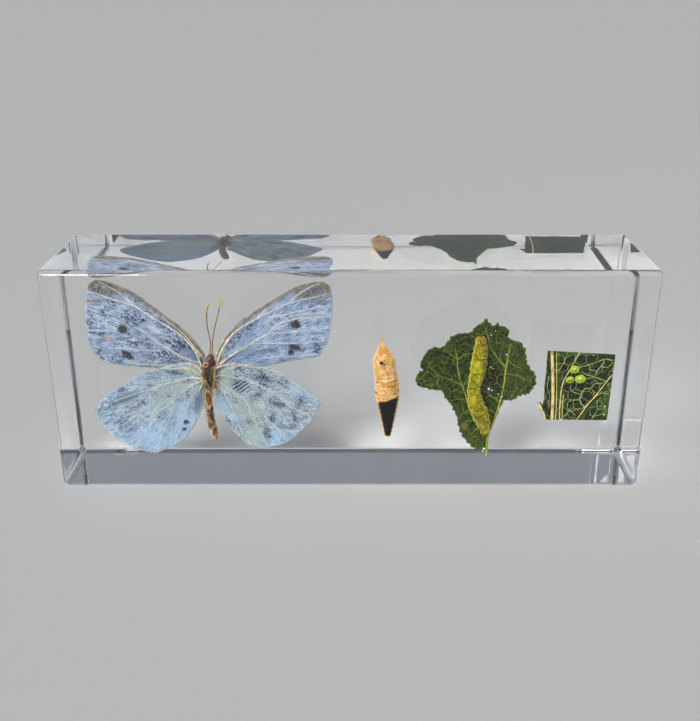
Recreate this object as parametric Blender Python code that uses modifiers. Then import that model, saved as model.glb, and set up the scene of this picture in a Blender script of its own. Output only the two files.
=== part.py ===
"""Clear resin block with a cabbage white butterfly and its earlier stages set in it.

The block stands on its long narrow face. X runs along its length, Y through its depth
with the front at -Y, and Z upwards. The origin is the middle of the underside. A flat
specimen stands in a plane parallel to the front, so its outline is a list of (x, z)
places in millimetres and its depth is a single y.

Each specimen has its own close-fitting pocket, made by the same function as the
specimen with a little growth, and one hair-thin vent joins the pockets of each group
to the underside, so that no pocket is a sealed hollow.
"""
import math

import bmesh
import bpy
from mathutils import Vector

MM = 0.001

# Driving dimensions, in metres
BLOCK_LENGTH = 110.0 * MM
BLOCK_DEPTH = 25.3 * MM
BLOCK_HEIGHT = 43.2 * MM
EDGE_RADIUS = 1.2 * MM
EDGE_SEGMENTS = 3
WING_THICKNESS = 0.4 * MM
LEAF_THICKNESS = 0.4 * MM
GAP = 0.3 * MM
CLEARANCE = 0.35 * MM
VENT_RADIUS = 0.35 * MM

# The specimens stand near the middle of the depth. Hindwings lie in front of forewings.
FOREWING_Y = 0.5 * (WING_THICKNESS + GAP)
HINDWING_Y = -FOREWING_Y
LEAF_Y = 0.0
LEAF_FRONT = LEAF_Y - 0.5 * LEAF_THICKNESS

# Butterfly body: a turned shape with its axis upright. (radius, z) in millimetres.
BODY_X = -26.9
BODY_DEPTH_STRETCH = 1.25
BODY_PROFILE = [
    (0.0, 24.2), (0.75, 23.9), (1.05, 23.1), (0.85, 22.3), (1.2, 21.5), (1.45, 20.2),
    (1.35, 18.6), (0.8, 17.3), (0.8, 14.5), (0.9, 11.5), (0.85, 8.5), (0.5, 6.6), (0.0, 6.2),
]
LEG_RADIUS = 0.15

LEFT_FOREWING = [
    (-28.8, 23.6), (-31.0, 29.2), (-36.7, 33.8), (-40.0, 36.5), (-44.7, 38.7), (-46.7, 38.9),
    (-48.3, 37.6), (-49.3, 32.5), (-49.3, 28.0), (-48.6, 25.0), (-47.0, 23.0),
    (-40.0, 21.8), (-34.0, 21.2), (-28.9, 21.4),
]
RIGHT_FOREWING = [
    (-25.0, 23.8), (-22.3, 28.8), (-17.0, 33.3), (-11.0, 37.0), (-7.5, 38.3), (-5.0, 38.6),
    (-3.7, 37.2), (-3.3, 33.5), (-3.9, 28.5), (-4.9, 25.5), (-6.2, 23.9),
    (-14.3, 22.3), (-19.5, 21.2), (-24.9, 21.4),
]
LEFT_HINDWING = [
    (-28.9, 21.6), (-31.0, 22.6), (-35.5, 21.8), (-40.0, 20.2), (-45.0, 17.2), (-48.4, 14.3),
    (-49.1, 11.8), (-46.7, 7.7), (-43.0, 4.9), (-38.7, 3.5), (-34.3, 5.3), (-30.8, 9.0),
    (-28.6, 14.0), (-28.7, 18.0),
]
RIGHT_HINDWING = [
    (-24.9, 21.6), (-21.7, 22.4), (-15.7, 21.5), (-11.3, 19.2), (-7.0, 15.8), (-6.0, 13.9),
    (-8.0, 10.0), (-11.3, 6.7), (-15.0, 4.9), (-18.0, 4.6), (-21.7, 7.0), (-25.0, 12.0),
    (-25.5, 14.5), (-25.0, 18.0),
]
WING_CURVE_STEPS = 3

# Antennae and legs: (x, y, z, radius) in millimetres
LEFT_ANTENNA = [
    (-27.2, -0.5, 24.5, 0.12), (-26.6, -0.5, 27.5, 0.1), (-26.7, -0.5, 31.0, 0.1),
    (-26.4, -0.5, 33.7, 0.16), (-26.3, -0.5, 34.4, 0.28), (-26.2, -0.5, 34.8, 0.12),
]
RIGHT_ANTENNA = [
    (-26.4, 0.5, 24.45, 0.12), (-25.8, 0.5, 27.4, 0.1), (-25.2, 0.5, 30.2, 0.1),
    (-24.5, 0.5, 32.6, 0.1), (-24.1, 0.5, 34.0, 0.16), (-23.9, 0.5, 34.6, 0.28),
    (-23.8, 0.5, 35.0, 0.12),
]
LEFT_LEG = [
    (-28.1, -2.0, 20.6, LEG_RADIUS), (-27.4, -2.35, 19.2, LEG_RADIUS),
    (-26.9, -2.2, 18.0, LEG_RADIUS), (-26.8, -1.9, 16.9, LEG_RADIUS),
]
RIGHT_LEG = [
    (-25.6, -1.9, 21.8, LEG_RADIUS), (-25.7, -2.2, 20.0, LEG_RADIUS),
    (-26.0, -2.1, 18.0, LEG_RADIUS), (-26.1, -1.6, 16.2, LEG_RADIUS),
    (-26.3, -1.6, 14.6, LEG_RADIUS),
]

# Pupa: a turned shape, horn up. (radius, distance from its middle) in millimetres
PUPA_X = 6.8
PUPA_Z = 17.2
PUPA_TILT = math.radians(-3.8)
PUPA_PROFILE = [
    (0.0, 10.6), (0.2, 10.2), (0.45, 9.0), (1.1, 8.3), (2.15, 6.4), (2.2, 2.6), (2.35, -1.4),
    (2.2, -2.8), (1.6, -5.2), (1.2, -7.6), (0.6, -9.9), (0.3, -10.4), (0.0, -10.6),
]

# Leaf, with its stalk at the bottom right
LEAF_OUTLINE = [
    (25.4, 31.4), (26.6, 30.2), (28.3, 30.2), (29.5, 29.5), (30.2, 27.5), (31.7, 27.0),
    (33.0, 25.5), (34.3, 21.7), (35.6, 19.8), (35.2, 17.4), (34.3, 16.2), (31.5, 14.9),
    (29.6, 14.5), (28.4, 12.7), (27.6, 9.5), (27.2, 6.0), (27.2, 2.6), (26.7, 2.6),
    (26.6, 4.1), (24.9, 4.2), (22.4, 6.7), (21.2, 9.0), (19.5, 13.9), (17.8, 16.6),
    (13.4, 17.6), (12.6, 19.0), (13.6, 21.2), (13.5, 22.4), (15.4, 25.6), (17.8, 26.1),
    (20.2, 28.6), (22.4, 28.6), (24.4, 30.7),
]

# Larva on the front of the leaf: (x, z, radius), from its head at the top
LARVA_CLEAR = 0.35
LARVA_PATH = [
    (24.4, 28.3, 0.45), (24.5, 27.8, 0.95), (24.6, 26.6, 1.3), (24.5, 24.8, 1.55),
    (24.2, 21.8, 1.6), (24.0, 19.6, 1.4), (23.6, 17.6, 1.3), (24.0, 15.4, 1.5),
    (24.9, 13.0, 1.65), (25.7, 10.7, 1.5), (26.2, 8.9, 1.0), (26.4, 8.0, 0.45),
]

# Square cutting of leaf with a slip of side vein that stands out at the lower left
CUTTING_OUTLINE = [
    (37.4, 25.1), (50.2, 24.4), (50.0, 10.6), (38.6, 10.7), (37.9, 12.4), (36.8, 14.2),
    (37.0, 14.6), (37.7, 13.9), (37.8, 17.4),
]

# Eggs on the cutting's front: (x, z, radius)
EGGS = [(42.6, 21.4, 0.85), (41.9, 19.2, 0.75), (43.9, 19.5, 0.95)]
EGG_HEIGHT_RATIO = 0.8

# Vents up from the underside: (x, y, top z), each ending inside a specimen's pocket
VENTS = [(-26.9, 0.0, 7.0), (7.5, 0.0, 7.5), (26.9, 0.0, 3.4), (45.0, 0.0, 11.2)]


def clear_scene():
    for obj in list(bpy.data.objects):
        bpy.data.objects.remove(obj, do_unlink=True)


def new_collection(name):
    collection = bpy.data.collections.new(name)
    bpy.context.scene.collection.children.link(collection)
    return collection


def material(name, colour, roughness, alpha=1.0, transmission=0.0):
    mat = bpy.data.materials.new(name)
    mat.use_nodes = True
    shader = mat.node_tree.nodes["Principled BSDF"]
    shader.inputs["Base Color"].default_value = (*colour, 1.0)
    shader.inputs["Roughness"].default_value = roughness
    shader.inputs["Metallic"].default_value = 0.0
    shader.inputs["Transmission Weight"].default_value = transmission
    shader.inputs["Alpha"].default_value = alpha
    return mat


def add_object(name, mesh, collection):
    obj = bpy.data.objects.new(name, mesh)
    collection.objects.link(obj)
    return obj


def as_mesh(obj, collection):
    """Replaces a curve object by its mesh, in world space, with its caps welded on."""
    bpy.context.view_layer.update()
    evaluated = obj.evaluated_get(bpy.context.evaluated_depsgraph_get())
    mesh = bpy.data.meshes.new_from_object(evaluated)
    mesh.transform(obj.matrix_world)
    name = obj.name
    bpy.data.objects.remove(obj, do_unlink=True)
    mesh.name = name
    bm = bmesh.new()
    bm.from_mesh(mesh)
    bmesh.ops.remove_doubles(bm, verts=bm.verts, dist=1e-6)
    bmesh.ops.recalc_face_normals(bm, faces=bm.faces)
    bm.to_mesh(mesh)
    bm.free()
    return add_object(name, mesh, collection)


def flat_piece(name, outline, thickness, y, collection, smooth=False, grow=0.0):
    """A flat outline in the XZ plane, grown sideways and in thickness by grow."""
    curve = bpy.data.curves.new(name, "CURVE")
    curve.dimensions = "2D"
    curve.fill_mode = "BOTH"
    curve.extrude = 0.5 * thickness + grow
    curve.offset = grow
    curve.resolution_u = WING_CURVE_STEPS
    if smooth:
        spline = curve.splines.new("BEZIER")
        spline.bezier_points.add(len(outline) - 1)
        for point, (x, z) in zip(spline.bezier_points, outline):
            point.co = (x * MM, z * MM, 0.0)
            point.handle_left_type = "AUTO"
            point.handle_right_type = "AUTO"
    else:
        spline = curve.splines.new("POLY")
        spline.points.add(len(outline) - 1)
        for point, (x, z) in zip(spline.points, outline):
            point.co = (x * MM, z * MM, 0.0, 1.0)
    spline.use_cyclic_u = True
    obj = add_object(name, curve, collection)
    obj.rotation_euler = (math.radians(90.0), 0.0, 0.0)
    obj.location = (0.0, y, 0.0)
    return as_mesh(obj, collection)


def end_place(end, inner, grow):
    """The end of a path, moved outwards along its last stretch by grow."""
    outwards = (Vector(end[:3]) - Vector(inner[:3])).normalized()
    return (*(Vector(end[:3]) + outwards * grow / MM), end[3])


def tube(name, path, collection, grow=0.0):
    """A round piece that follows (x, y, z, radius) places, with its radius at each."""
    first = end_place(path[0], path[1], grow)
    last = end_place(path[-1], path[-2], grow)
    path = [first, *path[1:-1], last]
    curve = bpy.data.curves.new(name, "CURVE")
    curve.dimensions = "3D"
    curve.bevel_depth = MM
    curve.bevel_resolution = 2
    curve.use_fill_caps = True
    spline = curve.splines.new("POLY")
    spline.points.add(len(path) - 1)
    for point, (x, y, z, radius) in zip(spline.points, path):
        point.co = (x * MM, y * MM, z * MM, 1.0)
        point.radius = radius + grow / MM
    obj = as_mesh(add_object(name, curve, collection), collection)
    obj.data.shade_smooth()
    obj.data.set_sharp_from_angle(angle=math.radians(40.0))
    return obj


def turned(name, profile, collection, steps=16, grow=0.0):
    """A profile of (radius, z) places, top to bottom, turned about the object's Z axis."""
    radius_and_height = [(radius * MM, z * MM) for radius, z in profile]
    verts = [(radius + grow, 0.0, z) for radius, z in radius_and_height[1:-1]]
    verts.insert(0, (0.0, 0.0, radius_and_height[0][1] + grow))
    verts.append((0.0, 0.0, radius_and_height[-1][1] - grow))
    edges = [(i, i + 1) for i in range(len(verts) - 1)]
    mesh = bpy.data.meshes.new(name)
    mesh.from_pydata(verts, edges, [])
    obj = add_object(name, mesh, collection)
    screw = obj.modifiers.new("Turn", "SCREW")
    screw.axis = "Z"
    screw.steps = steps
    screw.render_steps = steps
    screw.use_merge_vertices = True
    screw.merge_threshold = 1e-6
    screw.use_smooth_shade = True
    return obj


def egg(name, x, z, radius, collection, grow=0.0):
    """A low dome-like egg that stands off the front of the leaf cutting by the gap."""
    half_height = radius * EGG_HEIGHT_RATIO
    profile = [
        (radius * math.sin(math.radians(angle)), half_height * math.cos(math.radians(angle)))
        for angle in range(0, 181, 30)
    ]
    obj = turned(name, profile, collection, steps=12, grow=grow)
    obj.rotation_euler = (math.radians(90.0), 0.0, 0.0)
    obj.location = (x * MM, LEAF_FRONT - GAP - half_height * MM, z * MM)
    return obj


def butterfly_body(name, collection, grow=0.0):
    """Head, thorax and abdomen in one, a little deeper than it is wide."""
    obj = turned(name, BODY_PROFILE, collection, grow=grow)
    obj.location = (BODY_X * MM, 0.0, 0.0)
    obj.scale = (1.0, BODY_DEPTH_STRETCH, 1.0)
    return obj


def pupa(name, collection, grow=0.0):
    obj = turned(name, PUPA_PROFILE, collection, steps=20, grow=grow)
    obj.location = (PUPA_X * MM, 0.0, PUPA_Z * MM)
    obj.rotation_euler = (0.0, PUPA_TILT, 0.0)
    return obj


def larva(name, collection, grow=0.0):
    """It lies on the front of the leaf, clear of it by a little more than the gap."""
    fattest = max(radius for x, z, radius in LARVA_PATH)
    y = LEAF_FRONT / MM - LARVA_CLEAR - fattest
    path = [(x, y, z, radius) for x, z, radius in LARVA_PATH]
    return tube(name, path, collection, grow)


def specimens(collection, grow=0.0):
    """Every specimen with its colour and roughness, or every pocket's cutter when grow is given."""
    made = []

    def keep(obj, colour, roughness):
        made.append((obj, colour, roughness))

    wing = {"thickness": WING_THICKNESS, "collection": collection, "smooth": True, "grow": grow}
    keep(flat_piece("left_forewing", LEFT_FOREWING, y=FOREWING_Y, **wing), (0.36, 0.46, 0.66), 0.6)
    keep(flat_piece("right_forewing", RIGHT_FOREWING, y=FOREWING_Y, **wing), (0.36, 0.46, 0.66), 0.6)
    keep(flat_piece("left_hindwing", LEFT_HINDWING, y=HINDWING_Y, **wing), (0.38, 0.50, 0.62), 0.6)
    keep(flat_piece("right_hindwing", RIGHT_HINDWING, y=HINDWING_Y, **wing), (0.38, 0.50, 0.62), 0.6)
    keep(butterfly_body("butterfly_body", collection, grow), (0.12, 0.07, 0.04), 0.7)
    keep(tube("left_antenna", LEFT_ANTENNA, collection, grow), (0.55, 0.33, 0.07), 0.5)
    keep(tube("right_antenna", RIGHT_ANTENNA, collection, grow), (0.55, 0.33, 0.07), 0.5)
    keep(tube("left_leg", LEFT_LEG, collection, grow), (0.45, 0.30, 0.15), 0.6)
    keep(tube("right_leg", RIGHT_LEG, collection, grow), (0.45, 0.30, 0.15), 0.6)
    keep(pupa("pupa_case", collection, grow), (0.66, 0.38, 0.15), 0.5)
    leaf = {"thickness": LEAF_THICKNESS, "y": LEAF_Y, "collection": collection, "grow": grow}
    keep(flat_piece("cabbage_leaf", LEAF_OUTLINE, **leaf), (0.04, 0.08, 0.015), 0.6)
    keep(larva("larva", collection, grow), (0.40, 0.38, 0.02), 0.4)
    keep(flat_piece("leaf_cutting", CUTTING_OUTLINE, **leaf), (0.02, 0.04, 0.01), 0.6)
    for number, (x, z, radius) in enumerate(EGGS, start=1):
        keep(egg(f"egg_{number}", x, z, radius, collection, grow), (0.50, 0.64, 0.08), 0.4)
    return made


def vent_cutters(collection):
    """Straight round holes from below the underside up into each group's pocket."""
    below = 1.0
    made = []
    for number, (x, y, top) in enumerate(VENTS, start=1):
        mesh = bpy.data.meshes.new(f"vent_{number}")
        bm = bmesh.new()
        bmesh.ops.create_cone(bm, cap_ends=True, segments=12, radius1=VENT_RADIUS,
                              radius2=VENT_RADIUS, depth=(top + below) * MM)
        bm.to_mesh(mesh)
        bm.free()
        obj = add_object(f"vent_{number}", mesh, collection)
        obj.location = (x * MM, y * MM, 0.5 * (top - below) * MM)
        made.append(obj)
    return made


def resin_block(collection, cutters):
    """The block with softly rounded edges, less the specimens' pockets and their vents."""
    mesh = bpy.data.meshes.new("resin_block")
    bm = bmesh.new()
    bmesh.ops.create_cube(bm, size=1.0)
    bmesh.ops.scale(bm, verts=bm.verts, vec=(BLOCK_LENGTH, BLOCK_DEPTH, BLOCK_HEIGHT))
    bmesh.ops.translate(bm, verts=bm.verts, vec=(0.0, 0.0, 0.5 * BLOCK_HEIGHT))
    bm.to_mesh(mesh)
    bm.free()
    obj = add_object("resin_block", mesh, collection)
    bevel = obj.modifiers.new("Rounded edges", "BEVEL")
    bevel.width = EDGE_RADIUS
    bevel.segments = EDGE_SEGMENTS
    bevel.limit_method = "NONE"
    for cutter in cutters:
        cut = obj.modifiers.new(f"Cut {cutter.name}", "BOOLEAN")
        cut.operation = "DIFFERENCE"
        cut.object = cutter
    return obj


def build():
    clear_scene()
    pieces = new_collection("insect_in_resin_block")
    pockets = new_collection("pocket_cutters")
    made = specimens(pieces)
    for obj, colour, roughness in made:
        obj.data.materials.append(material(obj.name, colour, roughness))
    cutters = [obj for obj, colour, roughness in specimens(pockets, grow=CLEARANCE)]
    cutters += vent_cutters(pockets)
    for cutter in cutters:
        cutter.name = f"cutter_{cutter.name.split('.')[0]}"
        cutter.hide_render = True
        cutter.display_type = "WIRE"
    block = resin_block(pieces, cutters)
    clear = material("resin_block", (0.93, 0.96, 1.0), 0.03, alpha=0.3, transmission=1.0)
    block.data.materials.append(clear)


build()
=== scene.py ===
# %% [markdown]
# # A clear resin block that holds a butterfly's life story
#
# This lesson builds a display block of cast resin, the kind that stands on a classroom shelf.
# Four groups of specimens are sealed in it: a cabbage white butterfly, its pupa, its larva on
# a leaf, and its eggs on a square of leaf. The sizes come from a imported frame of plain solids,
# and every cell below replaces one of those solids with a detailed piece in the same place.

# %% The frame, the tools and the units
import math

import bmesh
import bpy
import numpy as np
from mathutils import Matrix, Vector
from mathutils.geometry import delaunay_2d_cdt


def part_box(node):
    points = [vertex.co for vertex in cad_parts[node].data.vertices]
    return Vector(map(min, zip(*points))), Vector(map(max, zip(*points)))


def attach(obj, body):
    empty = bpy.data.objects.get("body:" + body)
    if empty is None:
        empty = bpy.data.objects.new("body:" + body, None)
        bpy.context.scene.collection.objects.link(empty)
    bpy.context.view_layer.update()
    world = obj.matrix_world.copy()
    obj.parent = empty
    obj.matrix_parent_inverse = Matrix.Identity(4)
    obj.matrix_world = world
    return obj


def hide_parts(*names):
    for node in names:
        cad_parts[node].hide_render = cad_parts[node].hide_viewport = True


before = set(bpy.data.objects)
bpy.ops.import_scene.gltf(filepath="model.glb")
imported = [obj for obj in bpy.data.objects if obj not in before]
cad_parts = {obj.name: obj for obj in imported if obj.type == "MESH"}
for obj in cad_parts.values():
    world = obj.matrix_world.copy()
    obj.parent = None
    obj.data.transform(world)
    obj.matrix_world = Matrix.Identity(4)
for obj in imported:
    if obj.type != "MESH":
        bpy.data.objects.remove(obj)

MM = 0.001
TURN = math.tau  # one full turn
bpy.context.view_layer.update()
block_low, block_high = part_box("resin_block")
block_middle = 0.5 * (block_low + block_high)
print("block, in mm:", [round(side / MM, 1) for side in block_high - block_low])

# %% [markdown]
# ## The camera, the floor and the light
#
# The block stands on its long narrow face and the camera looks down on it a little. Clear
# things show only what is behind them and what they mirror, so the surroundings matter more
# than usual: a pale floor gives the block a bright inside, and a sky that darkens towards the
# top draws its polished edges. A broad sun gives soft shade, and a soft lamp a long glint.

# %% Camera
CAMERA_PLACE = (0.0, -0.167, 0.092)
CAMERA_TILT = 23.0
LENS = 46.4


def add_object(name, data):
    """A new object for a mesh, lamp or camera, put into the scene."""
    obj = bpy.data.objects.new(name, data)
    bpy.context.scene.collection.objects.link(obj)
    return obj


camera = add_object("camera", bpy.data.cameras.new("camera"))
camera.location = CAMERA_PLACE
camera.rotation_euler = (math.radians(90.0 - CAMERA_TILT), 0.0, 0.0)
camera.data.lens = LENS
camera.data.sensor_width = 36.0
camera.data.clip_start = 0.005
bpy.context.scene.camera = camera
print("camera, in mm:", [round(value / MM) for value in CAMERA_PLACE], "tilt:", CAMERA_TILT)


# %% Node helpers
def node(tree, kind, **properties):
    """Adds a node, and sets its properties and, by name or number, its inputs."""
    made = tree.nodes.new(kind)
    inputs = properties.pop("inputs", {})
    for key, value in properties.items():
        setattr(made, key, value)
    for key, value in inputs.items():
        if isinstance(value, bpy.types.NodeSocket):
            tree.links.new(value, made.inputs[key])
        else:
            made.inputs[key].default_value = value
    return made


def vector_maths(tree, operation, *values):
    """One step of arithmetic on vectors. SCALE takes a vector and a number."""
    sockets = (0, "Scale") if operation == "SCALE" else (0, 1, 2)
    return node(tree, "ShaderNodeVectorMath", operation=operation,
                inputs=dict(zip(sockets, values))).outputs[0]


def settings(shader, **values):
    """Sets plain values on a shader's own sockets: base_color sets Base Color, and so on."""
    for key, value in values.items():
        words = key.replace("_", " ").title().replace("Ior", "IOR")
        shader.inputs[words].default_value = value


WET_GLOSS = 0.06  # resin wets what it holds, so almost no light glints off it
OPEN_GLOSS = 0.5  # for surfaces that meet the air


def new_material(name, gloss=WET_GLOSS):
    """A material with only a Principled shader: returns it, its tree and the shader."""
    mat = bpy.data.materials.new(name)
    mat.use_nodes = True
    shader = mat.node_tree.nodes["Principled BSDF"]
    settings(shader, specular_ior_level=gloss)
    return mat, mat.node_tree, shader


# %% Floor and sky
FLOOR_SIZE = 6.0
FLOOR_DROP = 0.05 * MM  # a hair below the block, so that the two don't coincide
FLOOR_COLOUR = (0.67, 0.665, 0.655, 1.0)
FLOOR_GLOSS = 0.3
SKY_STRENGTH = 0.9
SKY_BEND = 0.35  # the height at which the sky has lost most of its brightness
SKY_COLOURS = {0.0: (0.80, 0.80, 0.79, 1.0), SKY_BEND: (0.30, 0.32, 0.36, 1.0),
               1.0: (0.10, 0.11, 0.13, 1.0)}  # by height, from the horizon to the top

floor_mesh = bpy.data.meshes.new("floor")
bm = bmesh.new()
bmesh.ops.create_grid(bm, x_segments=1, y_segments=1, size=0.5 * FLOOR_SIZE)
bmesh.ops.translate(bm, verts=bm.verts, vec=(0.0, 0.0, -FLOOR_DROP))
bm.to_mesh(floor_mesh)
bm.free()
floor = add_object("floor", floor_mesh)
floor_mat, tree, shader = new_material("floor", gloss=FLOOR_GLOSS)
settings(shader, base_color=FLOOR_COLOUR, roughness=0.8)
floor.data.materials.append(floor_mat)

world = bpy.data.worlds.new("studio")
bpy.context.scene.world = world
world.use_nodes = True
tree = world.node_tree
sky_place = node(tree, "ShaderNodeTexCoord")
height = node(tree, "ShaderNodeSeparateXYZ", inputs={0: sky_place.outputs["Generated"]})
sky = node(tree, "ShaderNodeValToRGB", inputs={0: height.outputs["Z"]})
sky.color_ramp.elements.new(SKY_BEND)
for stop, (position, colour) in zip(sky.color_ramp.elements, SKY_COLOURS.items()):
    stop.position = position
    stop.color = colour
tree.links.new(sky.outputs["Color"], tree.nodes["Background"].inputs["Color"])
tree.nodes["Background"].inputs["Strength"].default_value = SKY_STRENGTH
print("floor:", FLOOR_SIZE, "m wide, sky colours:", len(SKY_COLOURS))

# %% A broad sun for the key light, and a soft lamp to fill
KEY_DIRECTION = (0.42, 0.74, -0.60)  # which way its light travels
KEY_SPREAD = 24.0
KEY_STRENGTH = 2.6
FILL_PLACE = (0.50, -0.35, 0.35)
FILL_SIZE = 0.40
FILL_POWER = 0.4


def add_lamp(name, kind, strength, colour, direction):
    """A lamp that shines in a direction."""
    lamp = bpy.data.lights.new(name, kind)
    lamp.energy = strength
    lamp.color = colour
    obj = add_object(name, lamp)
    obj.rotation_euler = Vector(direction).to_track_quat("-Z", "Y").to_euler()
    return obj


fill = add_lamp("fill", "AREA", FILL_POWER, (0.95, 0.97, 1.0),
                Vector(block_middle) - Vector(FILL_PLACE))
fill.location = FILL_PLACE
fill.data.size = FILL_SIZE
key = add_lamp("key", "SUN", KEY_STRENGTH, (1.0, 0.985, 0.96), KEY_DIRECTION)
key.data.angle = math.radians(KEY_SPREAD)
bpy.context.scene.view_settings.view_transform = "Standard"
print("lamps:", [lamp.name for lamp in bpy.data.lights])

# %% [markdown]
# ## The resin block
#
# The block is cast in layers, sawn and polished until no layer shows, so it is one clear
# solid. A cube with a Bevel gives its softly rounded edges; Harden Normals keeps its faces
# optically flat, because a bent normal would bend everything seen through it. The finish is
# plain glass with resin's index of refraction and a trace of absorption. Lamps would reach
# the specimens only as slow, noisy caustics, so shadow rays go straight through.

# %% Block
RESIN_INDEX = 1.5
EDGE_RADIUS = 1.2 * MM
EDGE_SEGMENTS = 8
RESIN_DENSITY = 1.5
RESIN_TINT = (0.80, 0.90, 0.96, 1.0)
SHADOW_TINT = (0.96, 0.97, 0.98, 1.0)


def clear_resin():
    mat, tree, shader = new_material("clear_resin", gloss=OPEN_GLOSS)
    settings(shader, base_color=(1.0, 1.0, 1.0, 1.0), roughness=0.0, ior=RESIN_INDEX,
             transmission_weight=1.0)
    output = tree.nodes["Material Output"]
    through = node(tree, "ShaderNodeBsdfTransparent", inputs={0: SHADOW_TINT})
    path = node(tree, "ShaderNodeLightPath")
    mix = node(tree, "ShaderNodeMixShader", inputs={
        0: path.outputs["Is Shadow Ray"], 1: shader.outputs[0], 2: through.outputs[0]})
    tree.links.new(mix.outputs[0], output.inputs["Surface"])
    depth = node(tree, "ShaderNodeVolumeAbsorption", inputs={
        "Color": RESIN_TINT, "Density": RESIN_DENSITY})
    tree.links.new(depth.outputs[0], output.inputs["Volume"])
    return mat


def plain_mesh(source, name):
    """Applies what the object's modifiers make, and returns a new object at the origin."""
    evaluated = source.evaluated_get(bpy.context.evaluated_depsgraph_get())
    mesh = bpy.data.meshes.new_from_object(evaluated)
    mesh.name = name
    bpy.data.objects.remove(source, do_unlink=True)
    return add_object(name, mesh)


def fit_in(pieces, nodes):
    """Puts the pieces under the root body, hides the CAD nodes they replace, and counts their faces."""
    for piece in pieces:
        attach(piece, "root")
        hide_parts(*nodes)
        print(piece.name, "faces:", len(piece.data.polygons))


mesh = bpy.data.meshes.new("block_cage")
bm = bmesh.new()
bmesh.ops.create_cube(bm, size=1.0)
bmesh.ops.scale(bm, verts=bm.verts, vec=block_high - block_low)
bmesh.ops.translate(bm, verts=bm.verts, vec=block_middle)
bm.to_mesh(mesh)
bm.free()
mesh.shade_smooth()
cage = add_object("block_cage", mesh)
bevel = cage.modifiers.new("Rounded edges", "BEVEL")
bevel.width = EDGE_RADIUS
bevel.segments = EDGE_SEGMENTS
bevel.limit_method = "NONE"
bevel.harden_normals = True
block = plain_mesh(cage, "clear_block")
block.data.materials.append(clear_resin())
fit_in([block], ["resin_block"])

# %% [markdown]
# ## Tools for thin, patterned things
#
# Wings and leaves are sheets with a drawn outline, so the first tools round off given
# points, fill an outline with even triangles, and lift the result into gentle waves. All of
# them work in millimetres in the XZ plane, which is the plane the specimens stand in.

# %% Paths and ripples
def smooth_path(points, step, closed=False):
    """Rounds off a given path: a Catmull-Rom curve with a place about every step."""
    points = np.asarray(points, float)
    if closed:
        ends = np.vstack([points[-1], points, points[:2]])
    else:
        ends = np.vstack([2 * points[0] - points[1], points, 2 * points[-1] - points[-2]])
    places = []
    for before, start, end, after in zip(ends, ends[1:], ends[2:], ends[3:]):
        count = max(1, round(float(np.linalg.norm((end - start)[:3])) / step))
        t = np.linspace(0.0, 1.0, count, endpoint=False)[:, None]
        bend = 2 * before - 5 * start + 4 * end - after
        twist = 3 * start - before - 3 * end + after
        places.append(0.5 * (2 * start + (end - before) * t + bend * t ** 2 + twist * t ** 3))
    if not closed:
        places.append(points[-1:])
    return np.vstack(places)


def straight_path(points, step, closed=False):
    """A given path with its corners kept, and a place about every step."""
    places = []
    for start, end in zip(points, points[1:] + (points[:1] if closed else [])):
        start, end = np.array(start), np.array(end)
        count = max(1, round(float(np.linalg.norm(end - start)) / step))
        share = np.linspace(0.0, 1.0, count, endpoint=False)[:, None]
        places.append(start + (end - start) * share)
    if not closed:
        places.append(np.array(points[-1:]))
    return np.vstack(places)


def ripple(x, z, size, seed):
    """Soft bumps between about -1 and 1, made of a few waves in seeded directions."""
    draw = np.random.default_rng(seed)
    total = np.zeros(np.broadcast(x, z).shape)
    waves = 9
    for _ in range(waves):
        turn, start = draw.uniform(0.0, TURN, 2)
        rate = TURN / (size * draw.uniform(0.6, 1.7))
        total += np.sin((x * math.cos(turn) + z * math.sin(turn)) * rate + start)
    return total * 2.0 / waves


def frayed(outline, depth, size, seed):
    """Moves an outline in and out a little, so that its edge looks worn."""
    along = np.roll(outline, -1, axis=0) - np.roll(outline, 1, axis=0)
    out = np.column_stack([along[:, 1], -along[:, 0]])
    out /= np.linalg.norm(out, axis=1)[:, None] + 1e-9
    return outline + out * (depth * ripple(outline[:, 0], outline[:, 1], size, seed))[:, None]


# %% Filling an outline
def inside(outline, x, z):
    """Which places lie inside a closed outline, by counting the edges left of them."""
    result = np.zeros(len(x), bool)
    for (x1, z1), (x2, z2) in zip(outline, np.roll(outline, -1, axis=0)):
        if z1 != z2:
            crosses = (z1 > z) != (z2 > z)
            result ^= crosses & (x < (x2 - x1) * (z - z1) / (z2 - z1) + x1)
    return result


def distance_to(path, x, z):
    """How far each place is from the nearest point of a path."""
    nearest = np.full(len(x), 1e9)
    for px, pz in path:
        nearest = np.minimum(nearest, np.hypot(x - px, z - pz))
    return nearest


def triangles(outline, spacing):
    """Fills an outline with nearly even triangles: returns their places and faces."""
    low, high = outline.min(axis=0), outline.max(axis=0)
    x, z = np.meshgrid(np.arange(low[0], high[0], spacing),
                       np.arange(low[1], high[1], spacing * math.sqrt(0.75)))
    x[1::2] += 0.5 * spacing
    x, z = x.ravel(), z.ravel()
    keep = inside(outline, x, z) & (distance_to(outline, x, z) > 0.6 * spacing)
    places = np.vstack([outline, np.column_stack([x[keep], z[keep]])])
    ring = len(outline)
    edges = [(i, (i + 1) % ring) for i in range(ring)]
    filled = delaunay_2d_cdt([Vector(place) for place in places], edges, [], 1, 1e-5)
    return np.array([list(place) for place in filled[0]]), filled[2]


def object_from(name, verts, edges=(), faces=(), **values):
    """An object from places in millimetres, with one number a vertex for each attribute."""
    mesh = bpy.data.meshes.new(name)
    scaled = (np.asarray(verts, float) * MM).tolist()
    mesh.from_pydata(scaled, list(edges), list(faces))
    for title, numbers in values.items():
        mesh.attributes.new(title, "FLOAT", "POINT").data.foreach_set(
            "value", np.asarray(numbers, np.float32))
    return add_object(name, mesh)


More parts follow.
